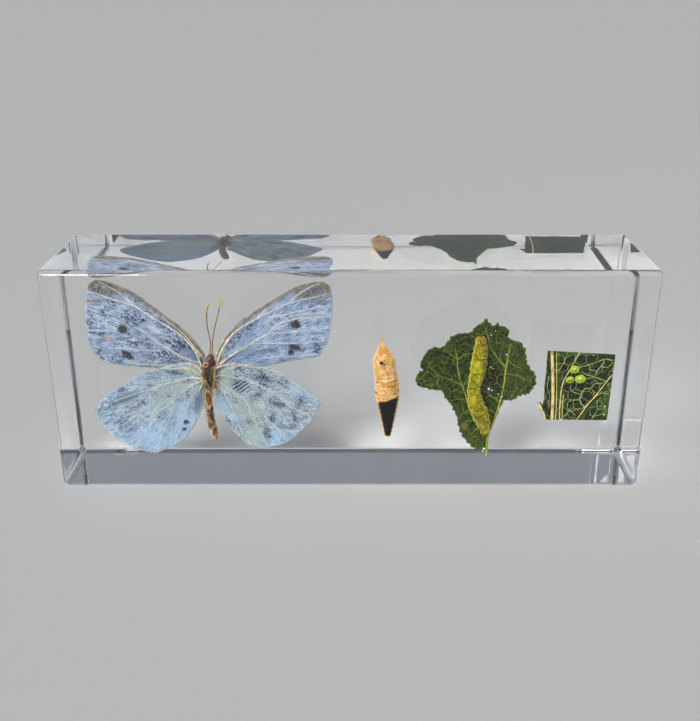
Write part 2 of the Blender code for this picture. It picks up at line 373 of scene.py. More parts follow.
# %% Sheets and lines
FAN_REACH = 12.0  # how much U changes in one radian of turn
CELL_JITTER = 0.33  # as a share of the spacing


def fan_map(obj, root):
    """A UV map in millimetres for lines that fan out: across them in U, along them in V."""
    uv = obj.data.uv_layers.new(name="fan").data
    for loop in obj.data.loops:
        place = obj.data.vertices[loop.vertex_index].co / MM
        dx, dz = place.x - root[0], place.z - root[1]
        uv[loop.index].uv = (FAN_REACH * math.atan2(dx, dz), math.hypot(dx, dz))


def sheet(name, outline, spacing, lift, thickness, root=None, **paths):
    """A thin sheet inside an outline. Each path given by name becomes an attribute that
    holds the distance to it in millimetres; "margin" is the distance to the outline."""
    places, faces = triangles(outline, spacing)
    x, z = places[:, 0], places[:, 1]
    values = {title: distance_to(path, x, z) for title, path in paths.items()}
    values["margin"] = distance_to(outline, x, z)
    obj = object_from(name + "_base", np.column_stack([x, lift(x, z), z]), faces=faces, **values)
    if root:
        fan_map(obj, root)
    obj.data.shade_smooth()
    wall = obj.modifiers.new("Thickness", "SOLIDIFY")
    wall.thickness = thickness * MM
    wall.offset = 0.0
    return plain_mesh(obj, name)


def lines_object(lines, lift=None, forward=0.0, step=0.3, rings=0.0, pitch=0.35,
                 path_of=smooth_path):
    """Edges along lines, each (start radius, end radius, places). Places are (x, z) on a
    lifted sheet, or (x, y, z). Rings swells the radius by that share once every pitch."""
    verts, edges, radii = [], [], []
    for start, end, places in lines:
        path = path_of(places, step)
        if lift:
            x, z = path[:, 0], path[:, 1]
            path = np.column_stack([x, lift(x, z) - forward, z])
        first = len(verts)
        verts += path.tolist()
        edges += [(first + i, first + i + 1) for i in range(len(path) - 1)]
        along = np.arange(len(path)) * step
        swell = 1.0 + rings * np.sin(along * TURN / pitch)
        radii += (np.linspace(start, end, len(path)) * swell * MM).tolist()
    return object_from("lines", verts, edges, radius=radii)


def cell_mesh(outline, spacing, lift, seed, forward):
    """Uneven triangles inside an outline, whose dual is a net of cells."""
    places, faces = triangles(outline, spacing)
    draw = np.random.default_rng(seed)
    places = places + draw.uniform(-CELL_JITTER, CELL_JITTER, places.shape) * spacing
    x, z = places[:, 0], places[:, 1]
    return object_from("cells", np.column_stack([x, lift(x, z) - forward, z]), faces=faces)


print("path of 3 points rounded to", len(smooth_path([(0, 0), (2, 1), (4, 0)], 0.25)), "places")

# %% [markdown]
# ## Node groups, and Geometry Nodes that repeat small things
#
# One function makes the empty group for shaders and for geometry, with named sockets. The
# geometry groups below are the workshop's small machines: Ridges turns edges into tapering
# tubes for veins, shafts and seams; Fringe sets scales along an edge; Hair sows bristles on
# a surface; Net draws a mesh of cells as fine raised lines. Their results become plain
# meshes at once, because the finished pieces carry no live modifiers.

# %% Groups with named sockets
GEOMETRY = {"Geometry": ("Geometry", None)}
MASK = {"Mask": ("Float", None)}
FINISH = {"Finish": ("Material", None)}
SPIKES = {"Length": ("Float", 0.3 * MM), "Width": ("Float", 0.05 * MM),
          "Spread": ("Float", 0.3), "Seed": ("Int", 1)}


def new_group(name, kind, inputs, outputs):
    """A node group: inputs and outputs are socket names with a type and a first value."""
    tree = bpy.data.node_groups.new(name, kind)
    for direction, sockets in (("INPUT", inputs), ("OUTPUT", outputs)):
        for title, (socket, value) in sockets.items():
            made = tree.interface.new_socket(
                title, in_out=direction, socket_type="NodeSocket" + socket)
            if value is not None:
                made.default_value = value
    start = tree.nodes.new("NodeGroupInput")
    end = tree.nodes.new("NodeGroupOutput")
    return tree, start.outputs, end.inputs[0]


def run_nodes(source, tree, name, **values):
    """Runs a geometry group on an object, and returns what it makes as a plain mesh."""
    modifier = source.modifiers.new(tree.name, "NODES")
    modifier.node_group = tree
    sockets = {item.name: item.identifier for item in tree.interface.items_tree
               if item.in_out == "INPUT"}
    for title, value in values.items():
        modifier[sockets[title.capitalize()]] = value
    return plain_mesh(source, name)


def finish_geometry(tree, geometry, finish, end):
    """The last nodes of every geometry group: real meshes, smooth, with their material."""
    real = node(tree, "GeometryNodeRealizeInstances", inputs={0: geometry})
    smooth = node(tree, "GeometryNodeSetShadeSmooth", inputs={0: real.outputs[0]})
    coated = node(tree, "GeometryNodeSetMaterial", inputs={
        "Geometry": smooth.outputs[0], "Material": finish})
    tree.links.new(coated.outputs[0], end)


# %% Ridges and Net: tubes along the edges of a mesh
NET_SIDES = 5


def tubes(tree, mesh, sides, radius, scale=1.0):
    """Nodes that turn the edges of a mesh into round tubes with closed ends."""
    lines = node(tree, "GeometryNodeMeshToCurve", inputs={"Mesh": mesh})
    ring = node(tree, "GeometryNodeCurvePrimitiveCircle", inputs={
        "Resolution": sides, "Radius": radius})
    return node(tree, "GeometryNodeCurveToMesh", inputs={
        "Curve": lines.outputs[0], "Profile Curve": ring.outputs[0], "Scale": scale,
        "Fill Caps": True}).outputs[0]


def own_radius(tree):
    """The radius that each vertex was given in lines_object."""
    return node(tree, "GeometryNodeInputNamedAttribute", data_type="FLOAT",
                inputs={"Name": "radius"}).outputs[0]


ridges, start, end = new_group("Ridges", "GeometryNodeTree", {
    "Paths": ("Geometry", None), "Sides": ("Int", 8), **FINISH}, GEOMETRY)
tube = tubes(ridges, start["Paths"], start["Sides"], 1.0, own_radius(ridges))
finish_geometry(ridges, tube, start["Finish"], end)

net, start, end = new_group("Net", "GeometryNodeTree", {
    "Cells": ("Geometry", None), "Radius": ("Float", 0.04 * MM), **FINISH}, GEOMETRY)
cells = node(net, "GeometryNodeDualMesh", inputs={"Mesh": start["Cells"]})
tube = tubes(net, cells.outputs[0], NET_SIDES, start["Radius"])
finish_geometry(net, tube, start["Finish"], end)

# %% Fringe and Hair: small spikes along an edge, or all over a skin
FRINGE_SIZES = (0.5, 1.2)  # smallest and largest, as a share of the length
HAIR_SIZES = (0.45, 1.1)


def spikes(tree, start, points, direction, sizes):
    """Nodes that stand a spike on every point, aimed in a direction but a little astray."""
    stray = node(tree, "FunctionNodeRandomValue", data_type="FLOAT_VECTOR", inputs={
        "Min": (-1.0, -1.0, -1.0), "Max": (1.0, 1.0, 1.0), "Seed": start["Seed"]})
    strayed = vector_maths(tree, "SCALE", stray.outputs[0], start["Spread"])
    turn = node(tree, "FunctionNodeAlignRotationToVector", axis="Z", inputs={
        "Vector": vector_maths(tree, "ADD", direction, strayed)})
    spike = node(tree, "GeometryNodeMeshCone", inputs={
        "Vertices": 3, "Radius Top": 0.0, "Radius Bottom": start["Width"],
        "Depth": start["Length"]})
    size = node(tree, "FunctionNodeRandomValue", inputs={
        2: sizes[0], 3: sizes[1], "Seed": start["Seed"]})
    return node(tree, "GeometryNodeInstanceOnPoints", inputs={
        "Points": points, "Instance": spike.outputs[0], "Rotation": turn.outputs[0],
        "Scale": size.outputs[1]}).outputs[0]


fringe, start, end = new_group("Fringe", "GeometryNodeTree", {
    "Edge": ("Geometry", None), "Spacing": ("Float", 0.1 * MM), **SPIKES, **FINISH}, GEOMETRY)
edge = node(fringe, "GeometryNodeMeshToCurve", inputs={"Mesh": start["Edge"]})
steps = node(fringe, "GeometryNodeResampleCurve", mode="LENGTH", inputs={
    "Curve": edge.outputs[0], "Length": start["Spacing"]})
along = node(fringe, "GeometryNodeInputTangent")
outwards = vector_maths(fringe, "CROSS_PRODUCT", (0.0, 1.0, 0.0), along.outputs[0])
blades = spikes(fringe, start, steps.outputs[0], outwards, FRINGE_SIZES)
finish_geometry(fringe, blades, start["Finish"], end)

hair, start, end = new_group("Hair", "GeometryNodeTree", {
    "Skin": ("Geometry", None), "Density": ("Float", 1e7),
    "Comb": ("Vector", (0.0, 0.0, 0.0)), **SPIKES, **FINISH}, GEOMETRY)
roots = node(hair, "GeometryNodeDistributePointsOnFaces", inputs={
    "Mesh": start["Skin"], "Density": start["Density"], "Seed": start["Seed"]})
combed = vector_maths(hair, "ADD", roots.outputs["Normal"], start["Comb"])
bristles = spikes(hair, start, roots.outputs[0], combed, HAIR_SIZES)
finish_geometry(hair, bristles, start["Finish"], end)
print("geometry groups:", [tree.name for tree in (ridges, net, fringe, hair)])


# %% Short ways to use the groups
def ridge_lines(name, lines, finish, lift=None, sides=8, **layout):
    """Tapering tubes along lines."""
    return run_nodes(lines_object(lines, lift, **layout), ridges, name, sides=sides,
                     finish=finish)


def net_over(name, outline, spacing, lift, seed, forward, radius, finish):
    """A fine net laid over a sheet, just in front of it."""
    return run_nodes(cell_mesh(outline, spacing, lift, seed, forward), net, name,
                     radius=radius * MM, finish=finish)


# %% [markdown]
# ## Shared surface effects
#
# Wings, leaves and skins share a few effects: a soft-edged Blot at a given place, a Speckle
# of small irregular grains that gathers in clouds, and Streaks that follow a map. Each is a
# shader group that gives only a mask, and a material decides what to do with it.

# %% Colour and blending
def paint(red, green, blue):
    """A colour given as on a paint chart, 0 to 255, in the linear values shaders use."""
    levels = [level / 255.0 for level in (red, green, blue)]
    return (*[((level + 0.055) / 1.055) ** 2.4 for level in levels], 1.0)


def blend(tree, mask, under, over):
    """Lays one colour over another where the mask is white, and returns the result."""
    return node(tree, "ShaderNodeMix", data_type="RGBA",
                inputs={0: mask, 6: under, 7: over}).outputs[2]


def maths(tree, operation, *values):
    """One step of arithmetic on sockets and numbers."""
    return node(tree, "ShaderNodeMath", operation=operation,
                inputs=dict(enumerate(values))).outputs[0]


def tint(tree, colour, mask, strength, over):
    """Lays a colour over another where the mask is white, at less than full strength."""
    return blend(tree, maths(tree, "MULTIPLY", mask, strength), colour, over)


def ramp(tree, value, start, end, low=0.0, high=1.0):
    """Turns a value's stretch from start to end into low to high, smoothly."""
    return node(tree, "ShaderNodeMapRange", interpolation_type="SMOOTHSTEP", inputs={
        "Value": value, "From Min": start, "From Max": end, "To Min": low,
        "To Max": high}).outputs[0]


# %% Places and patterns
def millimetres(tree):
    """The place on the object, in millimetres."""
    place = node(tree, "ShaderNodeTexCoord").outputs["Object"]
    return vector_maths(tree, "SCALE", place, 1.0 / MM)


def attribute(tree, name):
    """A number that the mesh carries at each vertex."""
    return node(tree, "ShaderNodeAttribute", attribute_name=name).outputs["Fac"]


def near(tree, name, reach, strength=1.0):
    """White within reach of the path that the sheet's attribute measures from."""
    return ramp(tree, attribute(tree, name), reach, 0.0, 0.0, strength)


def noise(tree, place, size, detail=3.0, output=0):
    """Cloudy noise whose features are about size wide, in the units of the place."""
    return node(tree, "ShaderNodeTexNoise", inputs={
        "Vector": place, "Scale": 1.0 / size, "Detail": detail,
        "Roughness": 0.6}).outputs[output]


def shaken(tree, place, amount, size):
    """The place moved about by noise, which roughens the edge of whatever reads it."""
    push = vector_maths(tree, "SUBTRACT", noise(tree, place, size, 2.0, "Color"),
                        (0.5, 0.5, 0.5))
    return vector_maths(tree, "MULTIPLY_ADD", push, (amount, amount, amount), place)


def cracks(tree, place, scale):
    """The lines between the cells of a cracked surface."""
    cells = node(tree, "ShaderNodeTexVoronoi", feature="DISTANCE_TO_EDGE",
                 inputs={"Vector": place, "Scale": scale})
    return ramp(tree, cells.outputs["Distance"], 0.12, 0.02)


def curls(tree, place, scale, detail_scale=1.0):
    """Thin curling lines, from rings that have been pulled about."""
    loops = node(tree, "ShaderNodeTexWave", wave_type="RINGS", rings_direction="SPHERICAL",
                 inputs={"Vector": place, "Scale": scale, "Distortion": 3.0, "Detail": 2.0,
                         "Detail Scale": detail_scale})
    return ramp(tree, loops.outputs["Fac"], 0.76, 0.96)


# %% Last steps of a finish
def link_finish(tree, shader, colour, relief, strength, depth, clouds=None, rough=None):
    """Links a colour, a relief so many millimetres deep, and a roughness between two values
    that follows the clouds."""
    tree.links.new(colour, shader.inputs["Base Color"])
    if clouds is not None:
        tree.links.new(ramp(tree, clouds, 0.3, 0.7, *rough), shader.inputs["Roughness"])
    bumped = node(tree, "ShaderNodeBump", inputs={
        "Height": relief, "Strength": strength, "Distance": depth * MM})
    tree.links.new(bumped.outputs[0], shader.inputs["Normal"])


def streaky_finish(name, under, over, size=0.8, roughness=0.5):
    """A finish for thin strands: one colour that clouds into another, and a fine bump."""
    mat, tree, shader = new_material(name)
    place = millimetres(tree)
    clouds = noise(tree, place, size, 4.0)
    colour = blend(tree, ramp(tree, clouds, 0.40, 0.64), under, over)
    link_finish(tree, shader, colour, noise(tree, place, 0.12, 2.0), 0.3, 0.03, clouds,
                (roughness - 0.1, roughness + 0.1))
    return mat


# %% Blot
blot, start, end = new_group("Blot", "ShaderNodeTree", {
    "Vector": ("Vector", None), "Centre": ("Vector", None), "Turn": ("Float", 0.0),
    "Half Size": ("Vector", (1.0, 1000.0, 1.0)), "Softness": ("Float", 0.3)}, MASK)
turned = node(blot, "ShaderNodeVectorRotate", rotation_type="Y_AXIS", inputs={
    "Vector": start["Vector"], "Center": start["Centre"], "Angle": start["Turn"]})
centred = vector_maths(blot, "SUBTRACT", turned.outputs[0], start["Centre"])
unit = vector_maths(blot, "DIVIDE", centred, start["Half Size"])
reach = node(blot, "ShaderNodeVectorMath", operation="LENGTH", inputs={0: unit})
mask = ramp(blot, reach.outputs["Value"], maths(blot, "ADD", 1.0, start["Softness"]),
            maths(blot, "SUBTRACT", 1.0, start["Softness"]))
blot.links.new(mask, end)

# %% Speckle
speckle, start, end = new_group("Speckle", "ShaderNodeTree", {
    "Vector": ("Vector", None), "Grain": ("Float", 0.3), "Cloud": ("Float", 4.0),
    "Amount": ("Float", 0.3)}, MASK)
grains = node(speckle, "ShaderNodeTexNoise", inputs={
    "Vector": start["Vector"], "Scale": maths(speckle, "DIVIDE", 1.0, start["Grain"]),
    "Detail": 3.0, "Roughness": 0.65})
clouds = node(speckle, "ShaderNodeTexNoise", inputs={
    "Vector": start["Vector"], "Scale": maths(speckle, "DIVIDE", 1.0, start["Cloud"]),
    "Detail": 2.0})
gathered = maths(speckle, "MULTIPLY_ADD", clouds.outputs[0], 0.45, grains.outputs[0])
edge = maths(speckle, "MULTIPLY_ADD", start["Amount"], -0.5, 1.02)
mask = ramp(speckle, gathered, edge, maths(speckle, "ADD", edge, 0.05))
speckle.links.new(mask, end)

# %% Streaks
streaks, start, end = new_group("Streaks", "ShaderNodeTree", {
    "Map": ("Vector", None), "Width": ("Float", 0.3), "Length": ("Float", 5.0)}, MASK)
parts = node(streaks, "ShaderNodeSeparateXYZ", inputs={0: start["Map"]})
squeezed = node(streaks, "ShaderNodeCombineXYZ", inputs={
    0: maths(streaks, "DIVIDE", parts.outputs[0], start["Width"]),
    1: maths(streaks, "DIVIDE", parts.outputs[1], start["Length"])})
lines = node(streaks, "ShaderNodeTexNoise", inputs={
    "Vector": squeezed.outputs[0], "Scale": 1.0, "Detail": 2.0, "Roughness": 0.5})
streaks.links.new(ramp(streaks, lines.outputs[0], 0.35, 0.65), end)
print("shader groups:", [tree.name for tree in (blot, speckle, streaks)])


# %% Using the shared masks
def use_group(tree, group, **inputs):
    """Places a shared group, with its named inputs, and returns its first output."""
    return node(tree, "ShaderNodeGroup", node_tree=group, inputs={
        title.replace("_", " ").title(): value for title, value in inputs.items()}).outputs[0]


def speckled(tree, place, grain, cloud, amount):
    """The mask of a speckle, at this place and with these sizes."""
    return use_group(tree, speckle, vector=place, grain=grain, cloud=cloud, amount=amount)


def blots_mask(tree, place, blots, softness):
    """The strongest of several blots, each (x, z, half width, half height, slant)."""
    mask = None
    for x, z, half_width, half_height, slant in blots:
        one = use_group(tree, blot, vector=place, centre=(x, 0.0, z),
                        turn=math.radians(slant), half_size=(half_width, 1000.0, half_height),
                        softness=softness)
        mask = one if mask is None else maths(tree, "MAXIMUM", mask, one)
    return mask


def stain(tree, colour, place, marks):
    """Lays marks over a colour, each (its colour, strength, softness, blots)."""
    for over, strength, softness, blots in marks:
        mask = blots_mask(tree, place, blots, softness)
        colour = tint(tree, colour, mask, strength, over)
    return colour

# %% [markdown]
# ## The wings
#
# The butterfly is set underside up, so its hindwings lie in front of its forewings. A wing is
# a membrane stretched over veins: each one here is a thin triangulated sheet that sinks a
# little between its veins, a set of tapering tubes for the veins themselves, and a fringe of
# tiny scales on its worn margin. The same few functions make all four wings from their own
# outline, veins and marks, as no two of them have aged alike.

# %% Outlines of the wings, in millimetres
OUTLINES = {
    "left_forewing": [
        (-27.5, 23.4), (-28.1, 24.8), (-29.1, 26.5), (-30.8, 28.7), (-33.5, 31.2), (-36.7, 33.8),
        (-40.0, 36.5), (-44.7, 38.7), (-46.7, 38.9), (-47.9, 38.2), (-48.6, 36.7),
        (-49.3, 32.0), (-49.3, 27.7), (-48.8, 25.7), (-47.0, 23.0), (-44.3, 22.3),
        (-40.0, 21.8), (-35.3, 21.5), (-28.6, 21.4)],
    "right_forewing": [
        (-25.4, 24.0), (-24.3, 26.3), (-22.3, 28.8), (-20.0, 31.2), (-17.0, 33.3),
        (-14.3, 35.0), (-11.0, 37.0), (-8.0, 38.2), (-5.3, 38.6), (-4.3, 38.2), (-3.7, 37.2),
        (-3.3, 34.5), (-3.7, 30.7), (-4.3, 27.0), (-5.5, 24.8), (-6.2, 23.9), (-10.0, 23.2),
        (-14.3, 22.3), (-17.7, 21.6), (-25.2, 21.5)],
    "left_hindwing": [
        (-28.4, 21.3), (-29.2, 22.4), (-31.0, 22.7), (-35.2, 21.8), (-40.0, 20.2),
        (-45.0, 17.2), (-47.3, 15.5), (-48.7, 13.8), (-49.2, 12.4), (-48.8, 10.8),
        (-46.7, 7.7), (-43.0, 4.9), (-40.8, 4.0), (-38.7, 3.5), (-36.7, 4.2), (-34.3, 5.3),
        (-32.3, 7.0), (-30.8, 9.0), (-28.7, 13.0), (-28.2, 15.0), (-28.0, 18.0)],
    "right_hindwing": [
        (-25.2, 21.8), (-21.7, 22.4), (-19.0, 22.0), (-15.7, 21.5), (-13.7, 20.7),
        (-11.3, 19.2), (-7.0, 15.8), (-6.0, 14.6), (-6.1, 13.4), (-8.0, 10.0), (-9.7, 8.0),
        (-11.3, 6.7), (-13.0, 5.6), (-15.0, 4.9), (-17.3, 4.6), (-20.0, 5.4), (-21.7, 7.0),
        (-23.3, 9.0), (-25.0, 12.0), (-26.1, 13.6), (-25.9, 16.0), (-25.4, 18.7)],
}
ROOTS = {"left_forewing": (-27.6, 22.6), "right_forewing": (-26.0, 22.4),
         "left_hindwing": (-28.0, 19.8), "right_hindwing": (-25.6, 19.8)}
HINDWING_Y = -0.35
FOREWING_Y = 0.35
MEMBRANE = 0.10

# %% Veins of the wings: start radius, end radius and places, from the body outwards
VEINS = {
    "left_forewing": [
        (0.17, 0.10, [(-28.4, 23.8), (-29.8, 25.8), (-32.4, 28.6), (-35.8, 31.0), (-40.0, 34.0)]),
        (0.09, 0.06, [(-40.0, 34.0), (-41.3, 35.3), (-42.7, 36.6), (-44.8, 38.0), (-46.2, 38.7)]),
        (0.10, 0.07, [(-40.0, 34.0), (-42.0, 34.7), (-44.0, 35.3), (-46.3, 36.2), (-48.4, 36.7)]),
        (0.11, 0.05, [(-28.1, 24.0), (-29.8, 26.4), (-31.7, 28.8), (-34.0, 30.9), (-37.0, 33.1)]),
        (0.12, 0.06, [(-28.6, 22.5), (-31.0, 23.3), (-33.5, 24.8), (-37.0, 27.3), (-38.5, 28.9),
                      (-40.2, 29.8)]),
        (0.07, 0.04, [(-49.1, 29.2), (-47.0, 29.1), (-44.4, 29.0)]),
        (0.05, 0.04, [(-48.9, 27.7), (-46.0, 27.6)]),
        (0.07, 0.05, [(-36.0, 25.0), (-40.5, 25.2), (-45.0, 25.7), (-48.2, 26.3)]),
        (0.06, 0.04, [(-48.9, 31.8), (-46.5, 31.4)]),
        (0.06, 0.04, [(-48.7, 34.6), (-46.0, 34.4), (-43.0, 33.5)]),
        (0.06, 0.09, [(-42.0, 22.5), (-36.0, 22.1), (-31.0, 22.0)])],
    "right_forewing": [
        (0.19, 0.10, [(-25.2, 22.3), (-24.0, 23.0), (-21.5, 24.7), (-18.2, 26.7), (-15.5, 28.5),
                      (-13.9, 30.1)]),
        (0.10, 0.06, [(-13.9, 30.1), (-12.2, 30.8), (-10.0, 31.4), (-7.5, 31.6), (-3.6, 31.9)]),
        (0.09, 0.05, [(-15.5, 28.5), (-13.0, 28.6), (-7.0, 29.2), (-4.0, 29.7)]),
        (0.09, 0.05, [(-18.3, 26.5), (-12.0, 26.5), (-8.0, 26.7), (-4.6, 27.0)]),
        (0.10, 0.05, [(-15.2, 31.7), (-12.5, 32.1), (-10.0, 32.8), (-7.0, 33.4), (-3.6, 34.1)]),
        (0.07, 0.05, [(-13.9, 30.3), (-12.0, 31.3), (-11.0, 31.9), (-9.0, 32.4), (-5.0, 32.6)]),
        (0.17, 0.08, [(-24.8, 22.8), (-24.2, 24.5), (-23.0, 27.0), (-21.3, 29.0), (-17.0, 31.6),
                      (-12.0, 34.2), (-9.5, 36.2), (-7.0, 37.8), (-5.4, 38.4)]),
        (0.08, 0.05, [(-12.0, 34.2), (-10.0, 34.8), (-8.5, 35.2), (-6.0, 35.8), (-3.8, 36.4)]),
        (0.08, 0.05, [(-17.0, 32.0), (-15.5, 33.4), (-14.0, 34.6), (-12.8, 35.7)]),
        (0.14, 0.06, [(-24.6, 23.5), (-23.2, 27.2), (-21.8, 29.3), (-17.5, 33.0), (-14.0, 35.2)]),
        (0.13, 0.06, [(-24.9, 22.2), (-23.5, 22.4), (-21.8, 22.6)]),
        (0.06, 0.04, [(-16.3, 23.6), (-12.0, 23.8), (-7.0, 23.8)]),
        (0.06, 0.06, [(-15.2, 31.7), (-14.9, 31.0), (-14.2, 30.6), (-13.9, 30.1)])],
    "left_hindwing": [
        (0.17, 0.09, [(-28.3, 21.8), (-30.4, 22.5), (-32.5, 22.4), (-35.3, 21.8)]),
        (0.15, 0.08, [(-28.8, 20.2), (-30.0, 21.0), (-31.5, 21.5), (-34.0, 21.5), (-35.4, 21.7)]),
        (0.14, 0.09, [(-29.5, 19.8), (-32.0, 19.2), (-36.0, 18.1), (-37.3, 17.4)]),
        (0.09, 0.05, [(-37.3, 17.4), (-40.0, 16.7), (-42.5, 15.8), (-45.0, 14.9), (-48.8, 13.0)]),
        (0.09, 0.05, [(-37.3, 17.4), (-38.4, 16.0), (-40.5, 14.7), (-43.0, 13.1), (-47.9, 9.0)]),
        (0.06, 0.04, [(-36.0, 18.2), (-38.0, 18.4), (-41.0, 18.6), (-43.0, 18.3), (-44.8, 17.3)]),
        (0.06, 0.06, [(-38.5, 15.8), (-38.7, 14.2), (-38.9, 12.7)]),
        (0.12, 0.08, [(-29.3, 19.0), (-31.0, 17.6), (-34.3, 14.6), (-37.0, 12.6), (-38.9, 12.4)]),
        (0.08, 0.05, [(-38.9, 12.3), (-41.0, 10.9), (-43.0, 9.2), (-45.9, 6.9)]),
        (0.08, 0.05, [(-37.0, 12.5), (-38.0, 11.0), (-39.3, 9.0), (-41.0, 6.6), (-42.0, 4.8)]),
        (0.07, 0.05, [(-34.0, 14.3), (-34.8, 12.0), (-35.7, 9.8), (-37.0, 7.0), (-38.0, 4.4)]),
        (0.06, 0.04, [(-29.0, 18.5), (-31.0, 14.5), (-32.6, 10.5), (-34.0, 7.0)]),
        (0.06, 0.04, [(-28.8, 18.2), (-29.8, 16.0), (-30.3, 13.0), (-30.5, 10.0)])],
    "right_hindwing": [
        (0.12, 0.05, [(-25.0, 20.0), (-22.0, 19.6), (-19.0, 18.8), (-14.5, 16.3), (-11.5, 13.4),
                      (-6.8, 11.6)]),
        (0.11, 0.05, [(-25.0, 19.0), (-23.0, 17.0), (-21.0, 15.7), (-20.0, 14.5), (-19.3, 12.5),
                      (-17.2, 7.5), (-16.4, 5.0)]),
        (0.07, 0.04, [(-18.5, 14.5), (-17.3, 13.0), (-16.2, 11.0), (-14.5, 9.0), (-12.8, 6.5)]),
        (0.08, 0.04, [(-25.0, 18.0), (-24.0, 16.0), (-23.0, 13.5), (-22.0, 10.0), (-20.5, 7.0)]),
        (0.12, 0.05, [(-24.8, 20.5), (-23.0, 21.5), (-20.0, 22.2), (-17.5, 21.6), (-12.0, 18.0),
                      (-6.5, 14.5)]),
        (0.08, 0.04, [(-17.0, 18.0), (-15.0, 16.8), (-13.0, 15.2), (-10.0, 12.6), (-7.8, 10.6)])],
}

# %% [markdown]
# Butterfly wings get their colour from dust-fine scales, and these are rubbed: the blue-grey
# ground shows clouds, streaks that run with the veins, and navy grains where the scales have
# shifted. Named spots and stains are Blots, each with its centre, half sizes and slant; their
# edges are shaken by noise so that none reads as an ellipse.

# %% Marks: kind to (x, z, half width, half height, slant in degrees)
MARKS = {
    "left_forewing": {
        "smoke": [(-45.2, 37.3, 3.6, 1.4, -8), (-47.4, 34.7, 1.6, 0.6, 0),
                  (-31.0, 28.3, 4.6, 0.8, -50)],
        "grain": [(-33.2, 28.3, 3.8, 1.3, -42), (-35.6, 24.2, 3.6, 1.2, -8), (-30.9, 25.9, 2.3, 1.8, -50),
                  (-40.9, 30.1, 1.2, 0.6, 10), (-38.5, 31.1, 0.6, 0.4, 0), (-34.0, 26.2, 3.0, 0.8, -40)],
        "shade": [(-46.7, 28.4, 1.0, 0.4, 0), (-43.2, 27.4, 0.6, 0.3, 0), (-39.8, 26.7, 1.0, 0.3, 0),
                  (-38.0, 26.1, 0.5, 0.35, 0), (-41.6, 31.3, 0.4, 0.7, 0), (-29.6, 24.4, 0.9, 1.6, 0)],
        "light": [(-36.6, 29.4, 1.4, 0.5, -30), (-34.4, 27.2, 1.6, 0.3, -35), (-41.3, 27.2, 1.0, 0.3, 0),
                  (-47.0, 31.7, 0.7, 0.15, 0), (-45.3, 31.3, 0.5, 0.12, 0), (-47.1, 30.5, 0.7, 0.12, 0),
                  (-47.6, 29.3, 0.6, 0.12, 0),
                  (-46.7, 38.0, 0.35, 0.25, 0), (-45.3, 37.8, 0.5, 0.2, 0)],
        "ochre": [(-45.3, 27.7, 0.5, 0.2, 0)],
        "spot": [(-42.6, 29.3, 0.85, 0.85, 0), (-42.2, 24.2, 1.3, 0.65, -38), (-45.2, 32.2, 1.3, 0.1, -18),
                 (-38.4, 31.1, 0.35, 0.2, 0)]},
    "right_forewing": {
        "smoke": [(-6.3, 36.8, 3.6, 1.7, 18), (-8.7, 36.4, 1.6, 0.8, 0), (-5.0, 34.6, 1.3, 0.5, 0)],
        "grain": [(-20.3, 28.6, 3.0, 0.7, 40), (-22.6, 26.0, 1.6, 0.6, 55)],
        "shade": [(-19.0, 24.0, 1.9, 0.3, 26), (-16.0, 25.0, 2.4, 0.4, 0), (-9.2, 25.2, 0.9, 0.4, 0)],
        "light": [(-13.2, 29.8, 1.6, 0.3, 20), (-7.0, 24.2, 3.0, 0.2, 0)],
        "spot": [(-10.2, 30.2, 0.95, 0.9, 20), (-10.4, 25.7, 1.1, 0.55, 0), (-11.2, 24.7, 0.6, 0.6, 0)]},
    "left_hindwing": {
        "cream": [(-34.3, 17.0, 3.6, 1.3, 28), (-36.5, 14.5, 2.4, 1.0, 40), (-30.5, 21.3, 2.2, 0.7, 0)],
        "sky": [(-38.2, 6.8, 5.5, 2.4, 0), (-32.0, 10.0, 2.4, 4.0, 25)],
        "shade": [(-43.4, 15.4, 3.2, 0.9, 22), (-43.7, 17.2, 0.5, 0.7, 0), (-29.3, 15.0, 1.0, 2.6, -15),
                  (-33.2, 20.6, 1.9, 0.4, -5)],
        "grain": [(-31.1, 16.1, 0.4, 1.1, -15), (-31.2, 19.2, 0.8, 0.4, 20), (-34.6, 16.0, 0.5, 0.4, 0),
                  (-41.0, 14.2, 2.6, 0.8, 25)],
        "spot": [(-32.0, 10.2, 0.62, 0.4, 0), (-32.4, 8.7, 0.4, 0.35, 0)]},
    "right_hindwing": {
        "cream": [(-19.0, 7.6, 2.2, 2.6, 0), (-19.8, 13.4, 3.4, 1.7, -20), (-24.0, 19.4, 1.6, 1.6, 0)],
        "sky": [(-14.4, 6.6, 2.6, 1.3, 20), (-24.4, 13.6, 1.0, 2.8, 20), (-9.5, 16.3, 3.0, 1.2, -38)],
        "shade": [(-16.3, 7.6, 0.6, 1.3, 0), (-11.8, 8.9, 0.7, 0.35, 0), (-13.9, 14.1, 1.2, 0.4, -20),
                  (-14.9, 10.8, 0.4, 0.6, 0), (-19.8, 10.1, 0.4, 0.4, 0), (-17.0, 19.6, 1.4, 0.5, 0)],
        "grain": [(-17.6, 21.1, 2.6, 0.6, -12), (-17.0, 19.6, 2.2, 0.6, -15), (-13.2, 18.6, 2.4, 0.4, -38),
                  (-14.3, 14.3, 2.2, 0.7, -20), (-22.2, 14.7, 0.8, 0.6, 0), (-15.0, 11.2, 1.0, 1.1, 0),
                  (-9.4, 11.2, 1.6, 0.8, 25), (-23.8, 10.4, 0.5, 1.6, 28), (-16.2, 7.6, 0.7, 1.6, 0),
                  (-18.3, 16.0, 1.3, 0.3, 0), (-9.2, 14.8, 1.0, 1.2, 0)],
        "ribs": [(-20.8, 17.8, 1.9, 1.3, -10)]},
}

